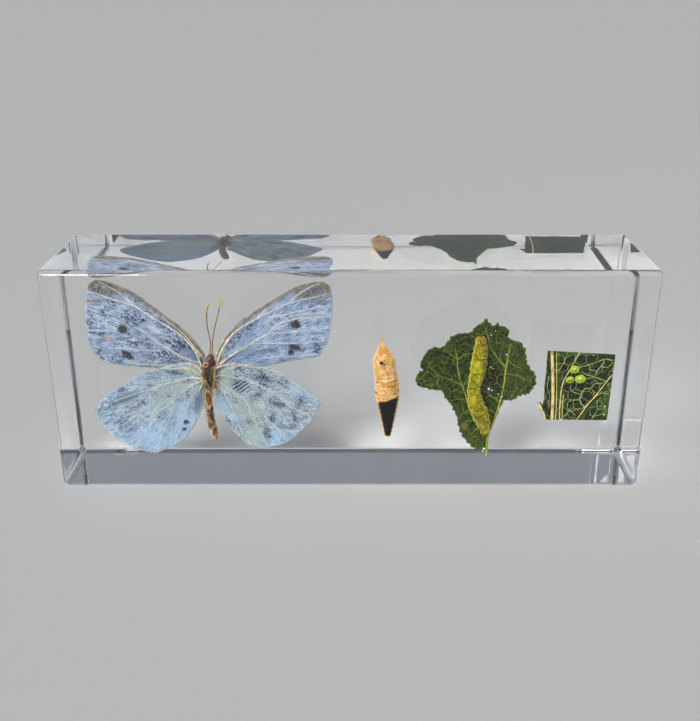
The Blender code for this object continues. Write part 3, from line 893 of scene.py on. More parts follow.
# How each kind looks: its colour, its strength and the softness of its edge. Smoke takes the
# soot that the finish mixes. "ribs" is a patch of parallel dark lines, like a fingerprint.
MARK_LOOKS = {
    "cream": (paint(156, 172, 162), 0.60, 0.7),
    "sky": (paint(146, 178, 206), 0.60, 0.8),
    "smoke": (None, 0.85, 0.35),
    "shade": (paint(58, 72, 104), 0.60, 0.5),
    "light": (paint(196, 206, 214), 0.50, 0.5),
    "ochre": (paint(206, 158, 104), 0.80, 0.5),
    "grain": (paint(28, 36, 60), 0.95, 0.6),
    "ribs": (paint(24, 32, 60), 0.95, 0.4),
    "spot": (paint(44, 36, 34), 0.95, 0.3),
}
# Ground colour, its lighter clouds, its duller wear, and how much of it is speckled.
WING_TONES = {
    "left_forewing": (paint(132, 150, 174), paint(160, 178, 200), paint(102, 116, 142), 0.50),
    "right_forewing": (paint(128, 148, 178), paint(150, 170, 198), paint(100, 117, 148), 0.42),
    "left_hindwing": (paint(138, 158, 174), paint(160, 182, 198), paint(112, 128, 148), 0.44),
    "right_hindwing": (paint(146, 164, 176), paint(168, 186, 192), paint(118, 134, 154), 0.48),
}


# %% Wing finish
RIB_SPACING = 0.46
RIB_SLANT = (-0.80, 0.0, 1.15)


def ribbed(tree, place):
    """Thin parallel lines that rise a little to the right."""
    bands = node(tree, "ShaderNodeTexWave", bands_direction="DIAGONAL", inputs={
        "Vector": vector_maths(tree, "MULTIPLY", place, RIB_SLANT),
        "Scale": 0.31 / RIB_SPACING, "Distortion": 1.2, "Detail": 1.0, "Detail Scale": 2.0})
    return ramp(tree, bands.outputs["Fac"], 0.45, 0.75)


def wing_ground(tree, place, fan, tones):
    """The blue-grey ground: its colour, the furrows in it and its wear."""
    main, pale, dull, worn = tones
    colour = blend(tree, ramp(tree, noise(tree, place, 4.5), 0.38, 0.62), main, pale)
    wear = noise(tree, place, 1.3, 4.0)
    colour = blend(tree, ramp(tree, wear, 0.50, 0.72, 0.0, 0.75), colour, dull)
    rays = use_group(tree, streaks, map=fan, width=0.30, length=4.0)
    colour = blend(tree, ramp(tree, rays, 0.55, 1.0, 0.0, 0.40), colour, paint(196, 206, 214))
    furrows = use_group(tree, streaks, map=fan, width=0.20, length=1.6)
    colour = blend(tree, ramp(tree, furrows, 0.58, 0.85, 0.0, 0.55), colour, paint(66, 82, 116))
    grains = speckled(tree, place, 0.30, 2.5, worn)
    return tint(tree, colour, grains, 0.90, paint(34, 46, 78)), furrows, wear


def wing_finish(name):
    mat, tree, shader = new_material(name)
    place = millimetres(tree)
    fan = node(tree, "ShaderNodeUVMap", uv_map="fan").outputs[0]
    colour, furrows, wear = wing_ground(tree, place, fan, WING_TONES[name])
    edge = shaken(tree, shaken(tree, place, 1.1, 0.8), 0.7, 0.3)
    dense = speckled(tree, place, 0.31, 1.0, 0.58)
    soot = blend(tree, dense, paint(116, 112, 106), paint(60, 56, 56))
    patterns = {"grain": dense, "ribs": ribbed(tree, place)}
    for kind, (over, strength, softness) in MARK_LOOKS.items():
        if kind in MARKS[name]:
            mask = blots_mask(tree, edge, MARKS[name][kind], softness)
            if kind in patterns:
                mask = maths(tree, "MULTIPLY", mask, patterns[kind])
            colour = tint(tree, colour, mask, strength, over or soot)
    colour = blend(tree, near(tree, "vein", 0.34, 0.35), colour, paint(180, 188, 192))
    colour = blend(tree, near(tree, "margin", 0.35, 0.55), colour, paint(190, 202, 212))
    if "fore" in name:
        front = blend(tree, dense, paint(126, 114, 98), paint(74, 66, 58))
        colour = blend(tree, near(tree, "costa", 1.3, 0.90), colour, front)
    flecks = ramp(tree, noise(tree, place, 0.40, 3.0), 0.60, 0.68)
    colour = tint(tree, colour, flecks, 0.35, paint(204, 214, 222))
    scales = node(tree, "ShaderNodeTexVoronoi", inputs={"Vector": fan, "Scale": 9.0})
    relief = maths(tree, "MULTIPLY_ADD", furrows, 0.8, scales.outputs["Distance"])
    link_finish(tree, shader, colour, relief, 0.35, 0.05, wear, (0.42, 0.62))
    return mat


# %% Make the wings. The costa is a wing's stiff front edge
FOREWING_VEIN = streaky_finish("forewing_vein", paint(222, 216, 204), paint(172, 166, 152))
HINDWING_VEIN = streaky_finish("hindwing_vein", paint(204, 200, 166), paint(160, 160, 132))
COSTA = streaky_finish("costa", paint(170, 152, 124), paint(104, 88, 70))
SCALE_FRINGE = streaky_finish("scale_fringe", paint(180, 194, 206), paint(132, 148, 168))
SHEET_SPACING = 0.24
RING_SPACING = 0.16
FRAY_DEPTH = 0.05
FRAY_SIZE = 0.7
COSTA_TIP = 0.06  # the costa's radius at its thin end
VALLEY_DEPTH = 0.12  # how far the membrane sinks between veins
VALLEY_WIDTH = 0.7
FRINGE_SHAPE = {"spacing": 0.06 * MM, "length": 0.26 * MM, "width": 0.045 * MM, "spread": 0.45}
FOREWING = (FOREWING_Y, FOREWING_VEIN, 0.20, COSTA)
HINDWING = (HINDWING_Y, HINDWING_VEIN, 0.11, HINDWING_VEIN)
WINGS = {  # depth, vein finish, costa's radius, finish, first and last outline point, and seed
    "left_forewing": (*FOREWING, 0, 9, 11), "right_forewing": (*FOREWING, 0, 10, 23),
    "left_hindwing": (*HINDWING, 1, 4, 37), "right_hindwing": (*HINDWING, 1, 6, 41)}


def crests_of(veins, step):
    """All the places along a set of veins."""
    return np.vstack([smooth_path(places, step) for start, end, places in veins])


def wing_lift(y, veins, seed):
    """Where the membrane lies: a gentle wave that sinks back between the veins."""
    crests = crests_of(veins, 0.4)

    def lift(x, z):
        valley = 1.0 - np.exp(-(distance_to(crests, x, z) / VALLEY_WIDTH) ** 2)
        wave = 0.10 * ripple(x, z, 9.0, seed) + 0.025 * ripple(x, z, 1.5, seed + 1)
        return y + wave + VALLEY_DEPTH * valley

    return lift


def turned_out(outline):
    """The outline run the way round that makes a fringe along it point outwards."""
    ahead = np.roll(outline, -1, axis=0)
    area = (ahead[:, 0] - outline[:, 0]) @ (ahead[:, 1] + outline[:, 1])
    return outline[::-1] if area > 0.0 else outline


def make_wing(name, y, vein_look, costa_radius, costa_look, first, last, seed):
    front = OUTLINES[name][first:last + 1]
    outline = smooth_path(OUTLINES[name], RING_SPACING, closed=True)
    outline = turned_out(frayed(outline, FRAY_DEPTH, FRAY_SIZE, seed + 2))
    lift = wing_lift(y, VEINS[name], seed)
    membrane = sheet(name + "_membrane", outline, SHEET_SPACING, lift, MEMBRANE,
                     root=ROOTS[name], vein=crests_of(VEINS[name], 0.2),
                     costa=smooth_path(front, 0.2))
    membrane.data.materials.append(wing_finish(name))
    veins = ridge_lines(name + "_veins", VEINS[name], vein_look, lift)
    costa = ridge_lines(name + "_costa", [(costa_radius, COSTA_TIP, front)], costa_look, lift)
    x, z = outline[:, 0], outline[:, 1]
    ring = [(i, (i + 1) % len(outline)) for i in range(len(outline))]
    margin = object_from("margin", np.column_stack([x, lift(x, z), z]), ring)
    scales = run_nodes(margin, fringe, name + "_fringe", seed=seed, finish=SCALE_FRINGE,
                       **FRINGE_SHAPE)
    fit_in([membrane, veins, costa, scales], [name])


for name, values in WINGS.items():
    make_wing(name, *values)

# %% [markdown]
# ## The butterfly's body
#
# Between the wings lie the head, the hairy thorax and the shrivelled abdomen. Each is a loft:
# rings of points set along a path, wider or narrower as the stations say, and pushed in or
# out by a swell function that makes segments and ridges. A loft is the quick way to any
# rounded form with a clear axis, and it will also make the pupa and the larva.

# %% Loft
def loft(name, stations, step, sides, swell=None):
    """A closed round form. Stations are (x, y, z, half width, half depth); swell takes the
    distance along and the angle round from the front, and gives extra radius."""
    path = smooth_path(stations, step)
    places = path[:, :3]
    ahead = np.gradient(places, axis=0)
    ahead /= np.linalg.norm(ahead, axis=1)[:, None]
    front = np.array([0.0, -1.0, 0.0]) + ahead * ahead[:, 1][:, None]
    front /= np.linalg.norm(front, axis=1)[:, None]
    side = np.cross(ahead, front)
    steps = np.linalg.norm(np.diff(places, axis=0), axis=1)
    along = np.concatenate([[0.0], np.cumsum(steps)])
    angle = np.arange(sides) * TURN / sides
    out = (np.cos(angle)[None, :, None] * front[:, None, :] * path[:, 4][:, None, None]
           + np.sin(angle)[None, :, None] * side[:, None, :] * path[:, 3][:, None, None])
    if swell:
        length = np.linalg.norm(out, axis=2, keepdims=True)
        extra = swell(along[:, None], angle[None, :])[:, :, None]
        out *= 1.0 + extra / length * np.minimum(1.0, length / 0.5)
    rings = places[:, None, :] + out
    verts = np.vstack([rings.reshape(-1, 3), places[0] - ahead[0] * 0.01,
                       places[-1] + ahead[-1] * 0.01])
    count = len(path)
    faces = [(r * sides + s, r * sides + (s + 1) % sides,
              (r + 1) * sides + (s + 1) % sides, (r + 1) * sides + s)
             for r in range(count - 1) for s in range(sides)]
    top, bottom = count * sides, count * sides + 1
    faces += [(top, (s + 1) % sides, s) for s in range(sides)]
    last = (count - 1) * sides
    faces += [(bottom, last + s, last + (s + 1) % sides) for s in range(sides)]
    ends = [along[0], along[-1]]
    obj = object_from(name, verts, faces=faces,
                      along=np.append(np.repeat(along, sides), ends),
                      side=np.append(np.tile(np.abs(np.sin(angle)), count), [0.0, 0.0]))
    bm = bmesh.new()
    bm.from_mesh(obj.data)
    bmesh.ops.recalc_face_normals(bm, faces=bm.faces)
    bm.to_mesh(obj.data)
    bm.free()
    obj.data.shade_smooth()
    return obj


def grooves(along, pitch, depth, width=0.18):
    """Narrow grooves across a form, one each pitch, as on a segmented body."""
    place = np.abs((along / pitch) % 1.0 - 0.5) * 2.0
    return -depth * np.exp(-((1.0 - place) / width) ** 2)


def part_of(obj, keep):
    """A copy of the faces for which keep says yes to their centre, in mm, and normal."""
    bm = bmesh.new()
    bm.from_mesh(obj.data)
    gone = [face for face in bm.faces if not keep(face.calc_center_median() / MM, face.normal)]
    bmesh.ops.delete(bm, geom=gone, context="FACES")
    mesh = bpy.data.meshes.new("patch")
    bm.to_mesh(mesh)
    bm.free()
    return add_object("patch", mesh)


# %% Facets: a compound eye, from a sphere's dual with each cell domed
facets, start, end = new_group("Facets", "GeometryNodeTree", {
    "Place": ("Geometry", None), "Radius": ("Float", 0.5 * MM), "Detail": ("Int", 4),
    "Dome": ("Float", 0.02 * MM), "Centre": ("Vector", None), **FINISH}, GEOMETRY)
ball = node(facets, "GeometryNodeMeshIcoSphere", inputs={
    "Radius": start["Radius"], "Subdivisions": start["Detail"]})
cells = node(facets, "GeometryNodeDualMesh", inputs={0: ball.outputs[0]})
raised = node(facets, "GeometryNodeExtrudeMesh", inputs={
    "Mesh": cells.outputs[0], "Offset Scale": start["Dome"], "Individual": True})
small = node(facets, "GeometryNodeScaleElements", inputs={
    "Geometry": raised.outputs[0], "Selection": raised.outputs["Top"], "Scale": 0.6})
moved = node(facets, "GeometryNodeTransform", inputs={
    "Geometry": small.outputs[0], "Translation": start["Centre"]})
finish_geometry(facets, moved.outputs[0], start["Finish"], end)

# %% [markdown]
# The dried body is dark where its hair has rubbed off and golden where it is left. In the
# abdomen the skin has sunk and thinned into two amber windows, whose bright orange cores are
# painted light shining through it. These finishes use the same blots and noise as the wings,
# with a clear coat where the skin has turned glassy.

# %% Body finishes
def skin_finish(name, main, dark, pale, marks=(), coat=0.0, size=0.7):
    """Mottled skin. Marks are (colour, strength, softness, blots) as on the wings."""
    mat, tree, shader = new_material(name)
    place = millimetres(tree)
    clouds = noise(tree, place, size, 5.0)
    colour = blend(tree, ramp(tree, clouds, 0.42, 0.62), main, dark)
    colour = tint(tree, colour, speckled(tree, place, 0.22, 1.5, 0.4), 0.6, pale)
    colour = stain(tree, colour, shaken(tree, place, 0.45, 0.5), marks)
    link_finish(tree, shader, colour, noise(tree, place, 0.25, 3.0), 0.5, 0.08, clouds,
                (0.35, 0.65))
    settings(shader, coat_weight=coat, coat_roughness=0.2, coat_ior=1.1)
    return mat


def strand_finish(name, root, tip):
    """Hair and bristles: a colour that changes in clouds, with a soft sheen."""
    mat = streaky_finish(name, root, tip, size=0.5, roughness=0.45)
    settings(mat.node_tree.nodes["Principled BSDF"], sheen_weight=0.3)
    return mat


HAIR_GOLD = strand_finish("golden_hair", paint(196, 166, 112), paint(140, 108, 66))
HAIR_DARK = strand_finish("dark_hair", paint(22, 14, 8), paint(52, 36, 20))
HAIR_GREY = strand_finish("grey_hair", paint(112, 100, 86), paint(62, 52, 42))
THORAX_SKIN = skin_finish("thorax_skin", paint(14, 8, 4), paint(4, 2, 1), paint(80, 58, 32))
HEAD_SKIN = skin_finish("head_skin", paint(104, 92, 80), paint(56, 44, 34), paint(160, 146, 126))
ABDOMEN_SKIN = skin_finish(
    "abdomen_skin", paint(140, 104, 64), paint(66, 42, 22), paint(210, 188, 148), [
        (paint(196, 190, 180), 0.8, 0.4, [(-27.2, 7.6, 0.5, 1.6, 18), (-27.9, 10.5, 0.25, 2.5, 0),
                                         (-26.7, 6.4, 0.6, 0.3, 0)]),
        # The two amber windows: thin amber skin, with painted light shining through at their orange cores.
        (paint(214, 190, 146), 0.8, 0.35, [(-27.2, 15.3, 0.78, 1.9, 4), (-26.4, 8.2, 0.62, 1.45, -14)]),
        (paint(92, 50, 6), 1.0, 0.25, [(-27.25, 15.4, 0.52, 1.5, 4), (-26.4, 8.3, 0.44, 1.1, -14)]),
        (paint(156, 88, 8), 0.8, 0.5, [(-27.35, 14.9, 0.2, 1.0, 0), (-26.35, 7.9, 0.2, 0.7, -14)]),
        (paint(34, 22, 14), 0.95, 0.3, [(-26.75, 13.2, 0.22, 0.5, 0), (-26.9, 12.0, 0.26, 0.6, 0),
                                        (-26.7, 11.0, 0.22, 0.35, 0), (-27.3, 10.0, 0.15, 0.4, 0)])],
    coat=0.35)


# %% Thorax, head and abdomen: stations are (x, y, z, half width, half depth)
def thorax_swell(along, angle):
    lumps = 0.10 * ripple(along, 3.0 * np.sin(angle), 1.4, 5)
    return lumps + grooves(along, 1.7, 0.12)


def head_swell(along, angle):
    return 0.04 * ripple(along, 2.0 * np.sin(angle), 0.8, 9)


def abdomen_swell(along, angle):
    sunken = -0.16 * np.exp(-((along - 2.0) / 1.2) ** 2 - (angle / 0.5) ** 2)
    crumpled = 0.07 * ripple(along, 2.0 * np.sin(angle), 0.9, 15)
    return grooves(along, 1.35, 0.10) + sunken + crumpled


THORAX = [
    (-26.9, 0.0, 22.6, 0.35, 0.40), (-26.9, 0.0, 22.2, 0.95, 1.10), (-26.9, 0.0, 21.2, 1.28, 1.45),
    (-26.9, 0.0, 19.8, 1.38, 1.65), (-26.9, 0.0, 18.4, 1.20, 1.45), (-27.0, 0.0, 17.5, 0.85, 1.05),
    (-27.1, 0.0, 17.0, 0.45, 0.55)]
HEAD = [
    (-26.3, -0.1, 24.35, 0.10, 0.12), (-26.3, -0.1, 24.2, 0.38, 0.42),
    (-26.4, -0.15, 23.6, 0.70, 0.80), (-26.65, -0.15, 22.9, 0.80, 0.85),
    (-26.8, -0.05, 22.3, 0.60, 0.65)]
ABDOMEN = [
    (-27.05, 0.0, 17.5, 0.45, 0.50), (-27.2, 0.0, 17.1, 0.72, 0.85), (-27.35, 0.0, 15.4, 0.85, 1.00),
    (-27.3, 0.0, 13.4, 0.76, 0.95), (-27.2, 0.0, 11.4, 0.76, 0.95), (-26.95, 0.0, 9.6, 0.78, 0.98),
    (-26.75, 0.0, 8.2, 0.78, 0.95), (-26.6, 0.0, 7.1, 0.62, 0.75), (-26.5, 0.0, 6.45, 0.34, 0.40),
    (-26.5, 0.0, 6.25, 0.12, 0.15)]
thorax = loft("thorax", THORAX, 0.12, 48, thorax_swell)
thorax.data.materials.append(THORAX_SKIN)
head = loft("head", HEAD, 0.12, 36, head_swell)
head.data.materials.append(HEAD_SKIN)
abdomen = loft("abdomen", ABDOMEN, 0.10, 40, abdomen_swell)
abdomen.data.materials.append(ABDOMEN_SKIN)


# %% Hair on the body
def sow_hair(skin, name, keep, finish, seed, density, length, width, down, spread):
    """Hair on the kept part of a skin, combed downwards. Length and width are in mm."""
    return run_nodes(part_of(skin, keep), hair, name, density=density,
                     length=length * MM, width=width * MM, comb=(0.0, 0.0, -down),
                     spread=spread, seed=seed, finish=finish)


side_hair = sow_hair(thorax, "thorax_side_hair", lambda place, normal: abs(normal.x) > 0.42,
                     HAIR_GOLD, 3, 7.0e7, 0.62, 0.032, 0.9, 0.55)
front_hair = sow_hair(thorax, "thorax_dark_hair", lambda place, normal: abs(normal.x) < 0.5,
                      HAIR_DARK, 4, 3.6e7, 0.40, 0.03, 1.4, 0.5)
head_hair = sow_hair(head, "head_hair", lambda place, normal: place.z > 23.3,
                     HAIR_GREY, 5, 6.0e7, 0.30, 0.028, -0.5, 0.5)
tail_hair = sow_hair(abdomen, "abdomen_hair", lambda place, normal: abs(normal.x) > 0.5,
                     HAIR_GREY, 6, 2.0e7, 0.3, 0.024, 1.2, 0.4)


# %% Eyes
RED_EYE = ((-26.1, -1.35, 23.1), 0.70)  # centre and radius
AMBER_EYE = ((-27.3, -1.35, 22.65), 0.46)
EYE_RING = ((-27.3, -1.55, 22.65), 0.48)
EYE_DETAIL = 4
FACET_DOME = 0.015


def eye_finish(name, main, deep):
    mat, tree, shader = new_material(name)
    clouds = noise(tree, millimetres(tree), 0.45, 2.0)
    tree.links.new(blend(tree, ramp(tree, clouds, 0.4, 0.6), main, deep),
                   shader.inputs["Base Color"])
    settings(shader, roughness=0.25, coat_weight=0.8, coat_roughness=0.08)
    return mat


def make_eye(name, centre, radius, finish):
    return run_nodes(object_from("eye_place", [centre]), facets, name, radius=radius * MM,
                     detail=EYE_DETAIL, dome=FACET_DOME * MM,
                     centre=[value * MM for value in centre], finish=finish)


red_eye = make_eye("right_eye", *RED_EYE,
                   eye_finish("red_eye", paint(104, 18, 6), paint(30, 4, 2)))
amber_eye = make_eye("left_eye", *AMBER_EYE,
                     eye_finish("amber_eye", paint(150, 74, 20), paint(64, 24, 6)))
(ring_x, ring_y, ring_z), ring_radius = EYE_RING
ring_path = [(ring_x + ring_radius * math.cos(turn), ring_y, ring_z + ring_radius * math.sin(turn))
             for turn in np.linspace(0.0, TURN, 13)]

# %% [markdown]
# Thick pale strands gather at the wing roots, where the veins run together and stiffen. They
# are Ridges again, with rings swelling their radius so that they look ribbed. The antennae
# are ringed shafts with yellow clubs, and the legs are jointed straws with a few bristles.

# %% Wing roots
ROOT_STRANDS = [
    (0.30, 0.12, [(-25.4, -0.9, 22.0), (-25.0, -0.4, 23.4), (-24.2, 0.1, 25.3), (-22.9, 0.3, 27.3)]),
    (0.18, 0.08, [(-25.7, -0.8, 22.6), (-25.3, -0.2, 24.2), (-24.6, 0.2, 25.8), (-23.4, 0.3, 27.8)]),
    (0.24, 0.10, [(-25.6, -1.0, 21.9), (-24.6, -0.6, 22.5), (-23.3, 0.0, 23.5), (-21.6, 0.2, 24.6)]),
    (0.20, 0.09, [(-25.7, -1.0, 21.6), (-24.4, -0.7, 22.1), (-22.9, -0.5, 22.4), (-21.9, -0.4, 22.6)]),
    (0.26, 0.12, [(-28.1, -1.0, 20.2), (-28.9, -0.8, 20.6), (-30.1, -0.5, 21.3), (-31.8, -0.4, 21.8)]),
    (0.20, 0.10, [(-28.1, -0.9, 21.0), (-29.0, -0.7, 21.9), (-30.2, -0.5, 22.5), (-32.0, -0.4, 22.5)]),
    (0.24, 0.10, [(-28.0, -1.1, 19.7), (-28.9, -0.9, 19.6), (-30.2, -0.5, 19.7), (-32.0, -0.4, 19.3)]),
    (0.18, 0.08, [(-28.0, -1.0, 19.4), (-28.7, -0.8, 18.8), (-29.8, -0.5, 18.3), (-31.0, -0.4, 17.6)]),
    (0.18, 0.07, [(-27.9, -1.0, 18.9), (-28.3, -0.8, 18.2), (-28.8, -0.5, 17.2), (-29.4, -0.4, 15.6)]),
    (0.20, 0.08, [(-28.2, -0.4, 22.0), (-28.6, -0.1, 23.2), (-29.3, 0.1, 24.8), (-30.2, 0.2, 26.2)]),
    (0.16, 0.06, [(-25.8, -0.9, 19.9), (-25.0, -0.6, 20.1), (-23.6, -0.4, 19.9), (-22.0, -0.35, 19.6)]),
    (0.16, 0.06, [(-25.8, -0.9, 19.4), (-25.1, -0.6, 19.0), (-24.2, -0.4, 18.1), (-23.0, -0.35, 17.0)]),
    (0.14, 0.06, [(-25.9, -0.9, 18.9), (-25.3, -0.6, 18.2), (-24.7, -0.4, 17.1), (-24.0, -0.35, 16.0)]),
]
ROOT_CREAM = streaky_finish("root_cream", paint(228, 220, 198), paint(166, 154, 124), size=0.4)
wing_roots = ridge_lines("wing_roots", ROOT_STRANDS, ROOT_CREAM, sides=10, step=0.07,
                         rings=0.12, pitch=0.30)
eye_ring = ridge_lines("eye_ring", [(0.08, 0.08, ring_path)], ROOT_CREAM, step=0.06)

# %% Antennae
SHAFT = streaky_finish("antenna_shaft", paint(150, 104, 12), paint(76, 46, 2), size=0.6)
CLUB = skin_finish("antenna_club", paint(214, 178, 60), paint(150, 110, 24), paint(240, 226, 140),
                   size=0.3)
SHAFT_RADIUS = 0.10
CLUB_SHAPE = [(-0.25, 0.11), (0.0, 0.17), (0.35, 0.27), (0.65, 0.25), (0.82, 0.12),
              (0.86, 0.04)]  # distance past the tip, and radius
ANTENNAE = {
    "left_antenna": [(-26.5, -0.5, 24.0), (-26.2, -0.5, 26.8), (-26.6, -0.5, 29.7),
                     (-26.65, -0.5, 32.0), (-26.4, -0.5, 33.8)],
    "right_antenna": [(-26.1, 0.4, 24.0), (-25.85, 0.5, 27.2), (-25.3, 0.5, 29.8),
                      (-24.6, 0.5, 32.3), (-24.1, 0.5, 34.1)]}
for name, path in ANTENNAE.items():
    shaft = ridge_lines(name + "_shaft", [(SHAFT_RADIUS, SHAFT_RADIUS, path)], SHAFT,
                        step=0.06, rings=0.14, pitch=0.28)
    tip = Vector(path[-1])
    lean = (tip - Vector(path[-2])).normalized()
    stations = [(*(tip + lean * along), half, half) for along, half in CLUB_SHAPE]
    club = loft(name + "_club", stations, 0.05, 20, lambda along, angle: grooves(along, 0.22, 0.02))
    club.data.materials.append(CLUB)
    fit_in([shaft, club], [name])

# %% Legs
STRAW = streaky_finish("leg_straw", paint(206, 160, 98), paint(132, 92, 50), size=0.5)
THIGH = (0.17, 0.11)  # radius at the body and at the knee
SHIN = (0.13, 0.06)
LEGS = {  # each joint's path, thigh first
    "left_leg": [[(-28.3, -1.5, 20.8), (-27.9, -2.1, 20.0), (-26.4, -2.2, 17.5)],
                 [(-26.4, -2.2, 17.5), (-25.9, -2.0, 16.7), (-25.6, -1.9, 16.4)]],
    "right_leg": [[(-25.7, -1.3, 22.2), (-25.6, -1.9, 21.0), (-26.0, -2.1, 18.4)],
                  [(-26.0, -2.1, 18.4), (-26.2, -1.9, 16.8), (-26.6, -1.6, 14.8)]]}
for name, (thigh, shin) in LEGS.items():
    limb = ridge_lines(name + "_joints", [(*THIGH, thigh), (*SHIN, shin)], STRAW, sides=10,
                       step=0.08, rings=0.07, pitch=0.5)
    bristles = sow_hair(limb, name + "_bristles", lambda place, normal: True,
                        HAIR_GOLD, 8, 6.0e7, 0.20, 0.014, 0.8, 0.3)
    fit_in([limb, bristles], [name])

fit_in([thorax, head, abdomen, side_hair, front_hair, head_hair, tail_hair, red_eye,
        amber_eye, eye_ring, wing_roots], ["butterfly_body"])

# %% [markdown]
# ## The pupa
#
# The pupa's upper half is a straw-coloured shell with a pointed horn, angled shoulders, fine
# wrinkles and a few black breathing holes. The lower half is black, and only a thin golden
# rim and a pale tip show its edge. It is one loft; the wrinkles and the keel come from the
# swell, and the two halves from the finish, because they are one skin.

# %% Pupa finish
PUPA_MARKS = [  # colour, strength, softness, blots
    (paint(228, 170, 72), 0.9, 0.4, [(6.1, 27.2, 0.5, 1.3, 0)]),
    (paint(186, 122, 50), 0.7, 0.5, [(6.3, 22.6, 0.6, 1.0, 0), (5.9, 25.0, 0.4, 0.9, 0)]),
    (paint(14, 10, 8), 1.0, 0.2, [(5.95, 23.0, 0.42, 0.30, 10), (6.45, 22.75, 0.18, 0.16, 0),
                                 (5.15, 18.75, 0.17, 0.17, 0), (8.6, 19.1, 0.17, 0.17, 0),
                                 (4.98, 16.6, 0.2, 0.17, 0), (9.2, 17.0, 0.18, 0.17, 0)]),
    (paint(96, 52, 20), 0.8, 0.3, [(6.5, 23.6, 0.14, 0.12, 0), (6.4, 20.5, 0.14, 0.1, 0),
                                   (7.1, 20.5, 0.12, 0.08, 0), (8.6, 16.8, 0.16, 0.1, 0)])]
PUPA_BLACK = (13.75, 13.45)  # where the black begins and is full, in z less the slant
PUPA_SLANT = -0.28
PUPA_TIP = (7.35, 7.1)


def pupa_lower(tree, place, x, z, flank):
    """The black half: its mask, and its colour with the golden rim and the pale tip."""
    slope = maths(tree, "MULTIPLY_ADD", x, PUPA_SLANT, z)
    ragged = maths(tree, "MULTIPLY_ADD", noise(tree, place, 0.6, 3.0), 0.8, slope)
    jagged = maths(tree, "MULTIPLY_ADD", noise(tree, place, 0.45, 2.0), 0.10, flank)
    rim = ramp(tree, jagged, 0.925, 0.955)
    lower = blend(tree, rim, paint(0, 0, 0), paint(206, 156, 84))
    lower = blend(tree, ramp(tree, z, *PUPA_TIP), lower, paint(232, 222, 204))
    return ramp(tree, ragged, *PUPA_BLACK), lower


def pupa_finish():
    mat, tree, shader = new_material("pupa_shell")
    place = millimetres(tree)
    x, y, z = node(tree, "ShaderNodeSeparateXYZ", inputs={0: place}).outputs
    flank = attribute(tree, "side")
    clouds = noise(tree, place, 1.3, 4.0)
    colour = blend(tree, ramp(tree, clouds, 0.36, 0.64), paint(242, 204, 142), paint(214, 156, 74))
    wrinkles = curls(tree, shaken(tree, place, 3.2, 1.6), 0.55, 1.6)
    colour = tint(tree, colour, wrinkles, 0.75, paint(140, 84, 26))
    colour = tint(tree, colour, speckled(tree, place, 0.3, 1.2, 0.35), 0.8, paint(252, 228, 180))
    colour = blend(tree, ramp(tree, flank, 0.80, 1.0, 0.0, 0.7), colour, paint(250, 220, 166))
    colour = stain(tree, colour, shaken(tree, place, 0.3, 0.35), PUPA_MARKS)
    black, lower = pupa_lower(tree, place, x, z, flank)
    colour = blend(tree, black, colour, lower)
    relief = maths(tree, "MULTIPLY_ADD", wrinkles, -0.6, noise(tree, place, 0.3, 3.0))
    link_finish(tree, shader, colour, relief, 0.6, 0.10, clouds, (0.34, 0.52))
    settings(shader, subsurface_weight=0.12, subsurface_scale=0.4 * MM)
    return mat


# %% Pupa
def pupa_swell(along, angle):
    keel = 0.16 * np.exp(-(np.minimum(angle, TURN - angle) / 0.28) ** 2)
    flank = 0.10 * np.exp(-((np.abs(np.sin(angle)) - 1.0) / 0.06) ** 2)
    lower = 1.0 / (1.0 + np.exp(-(along - 8.5) / 0.6))
    teeth = 0.07 * np.sin(along * TURN / 0.85) * lower
    wrinkles = 0.035 * ripple(along * 1.6, 3.5 * np.sin(angle), 0.9, 21)
    return (keel + flank) * (along > 2.2) + teeth + wrinkles + lower * grooves(along, 1.5, 0.07)


PUPA_STATIONS = [  # x, z, half width, from the horn down
    (6.10, 27.82, 0.05), (6.10, 27.72, 0.11), (6.12, 27.20, 0.16), (6.15, 26.60, 0.27),
    (6.17, 26.25, 0.42), (6.18, 26.05, 0.72), (6.24, 25.40, 1.05), (6.30, 24.80, 1.34),
    (6.36, 24.10, 1.66), (6.42, 23.40, 2.04), (6.46, 23.15, 2.10), (6.60, 21.50, 2.08),
    (6.88, 19.90, 2.16), (7.08, 18.00, 2.20),
    (7.20, 16.00, 2.26), (7.26, 14.40, 2.00), (7.32, 12.10, 1.55), (7.36, 10.20, 1.15),
    (7.40, 8.60, 0.84), (7.40, 7.40, 0.58), (7.40, 6.85, 0.36), (7.40, 6.62, 0.10)]
PUPA_FLATNESS = 0.82  # depth as a share of width
pupa = loft("pupa_shell", [(x, 0.0, z, half, half * PUPA_FLATNESS)
                           for x, z, half in PUPA_STATIONS], 0.11, 96, pupa_swell)
pupa.data.materials.append(pupa_finish())
fit_in([pupa], ["pupa_case"])

# %% [markdown]
# ## The larva's leaf
#
# The leaf is a cabbage leaflet that dried before it was cast: dark, crinkled, with a chewed
# margin, yellowing veins and a stalk. The blade is a sheet like a wing, lifted by sharper
# ripples. Its veins are Ridges, and between them two Nets of cells, one fine and one coarse,
# give the raised web that a dried leaf shows. A net is the dual of a jittered triangle mesh.

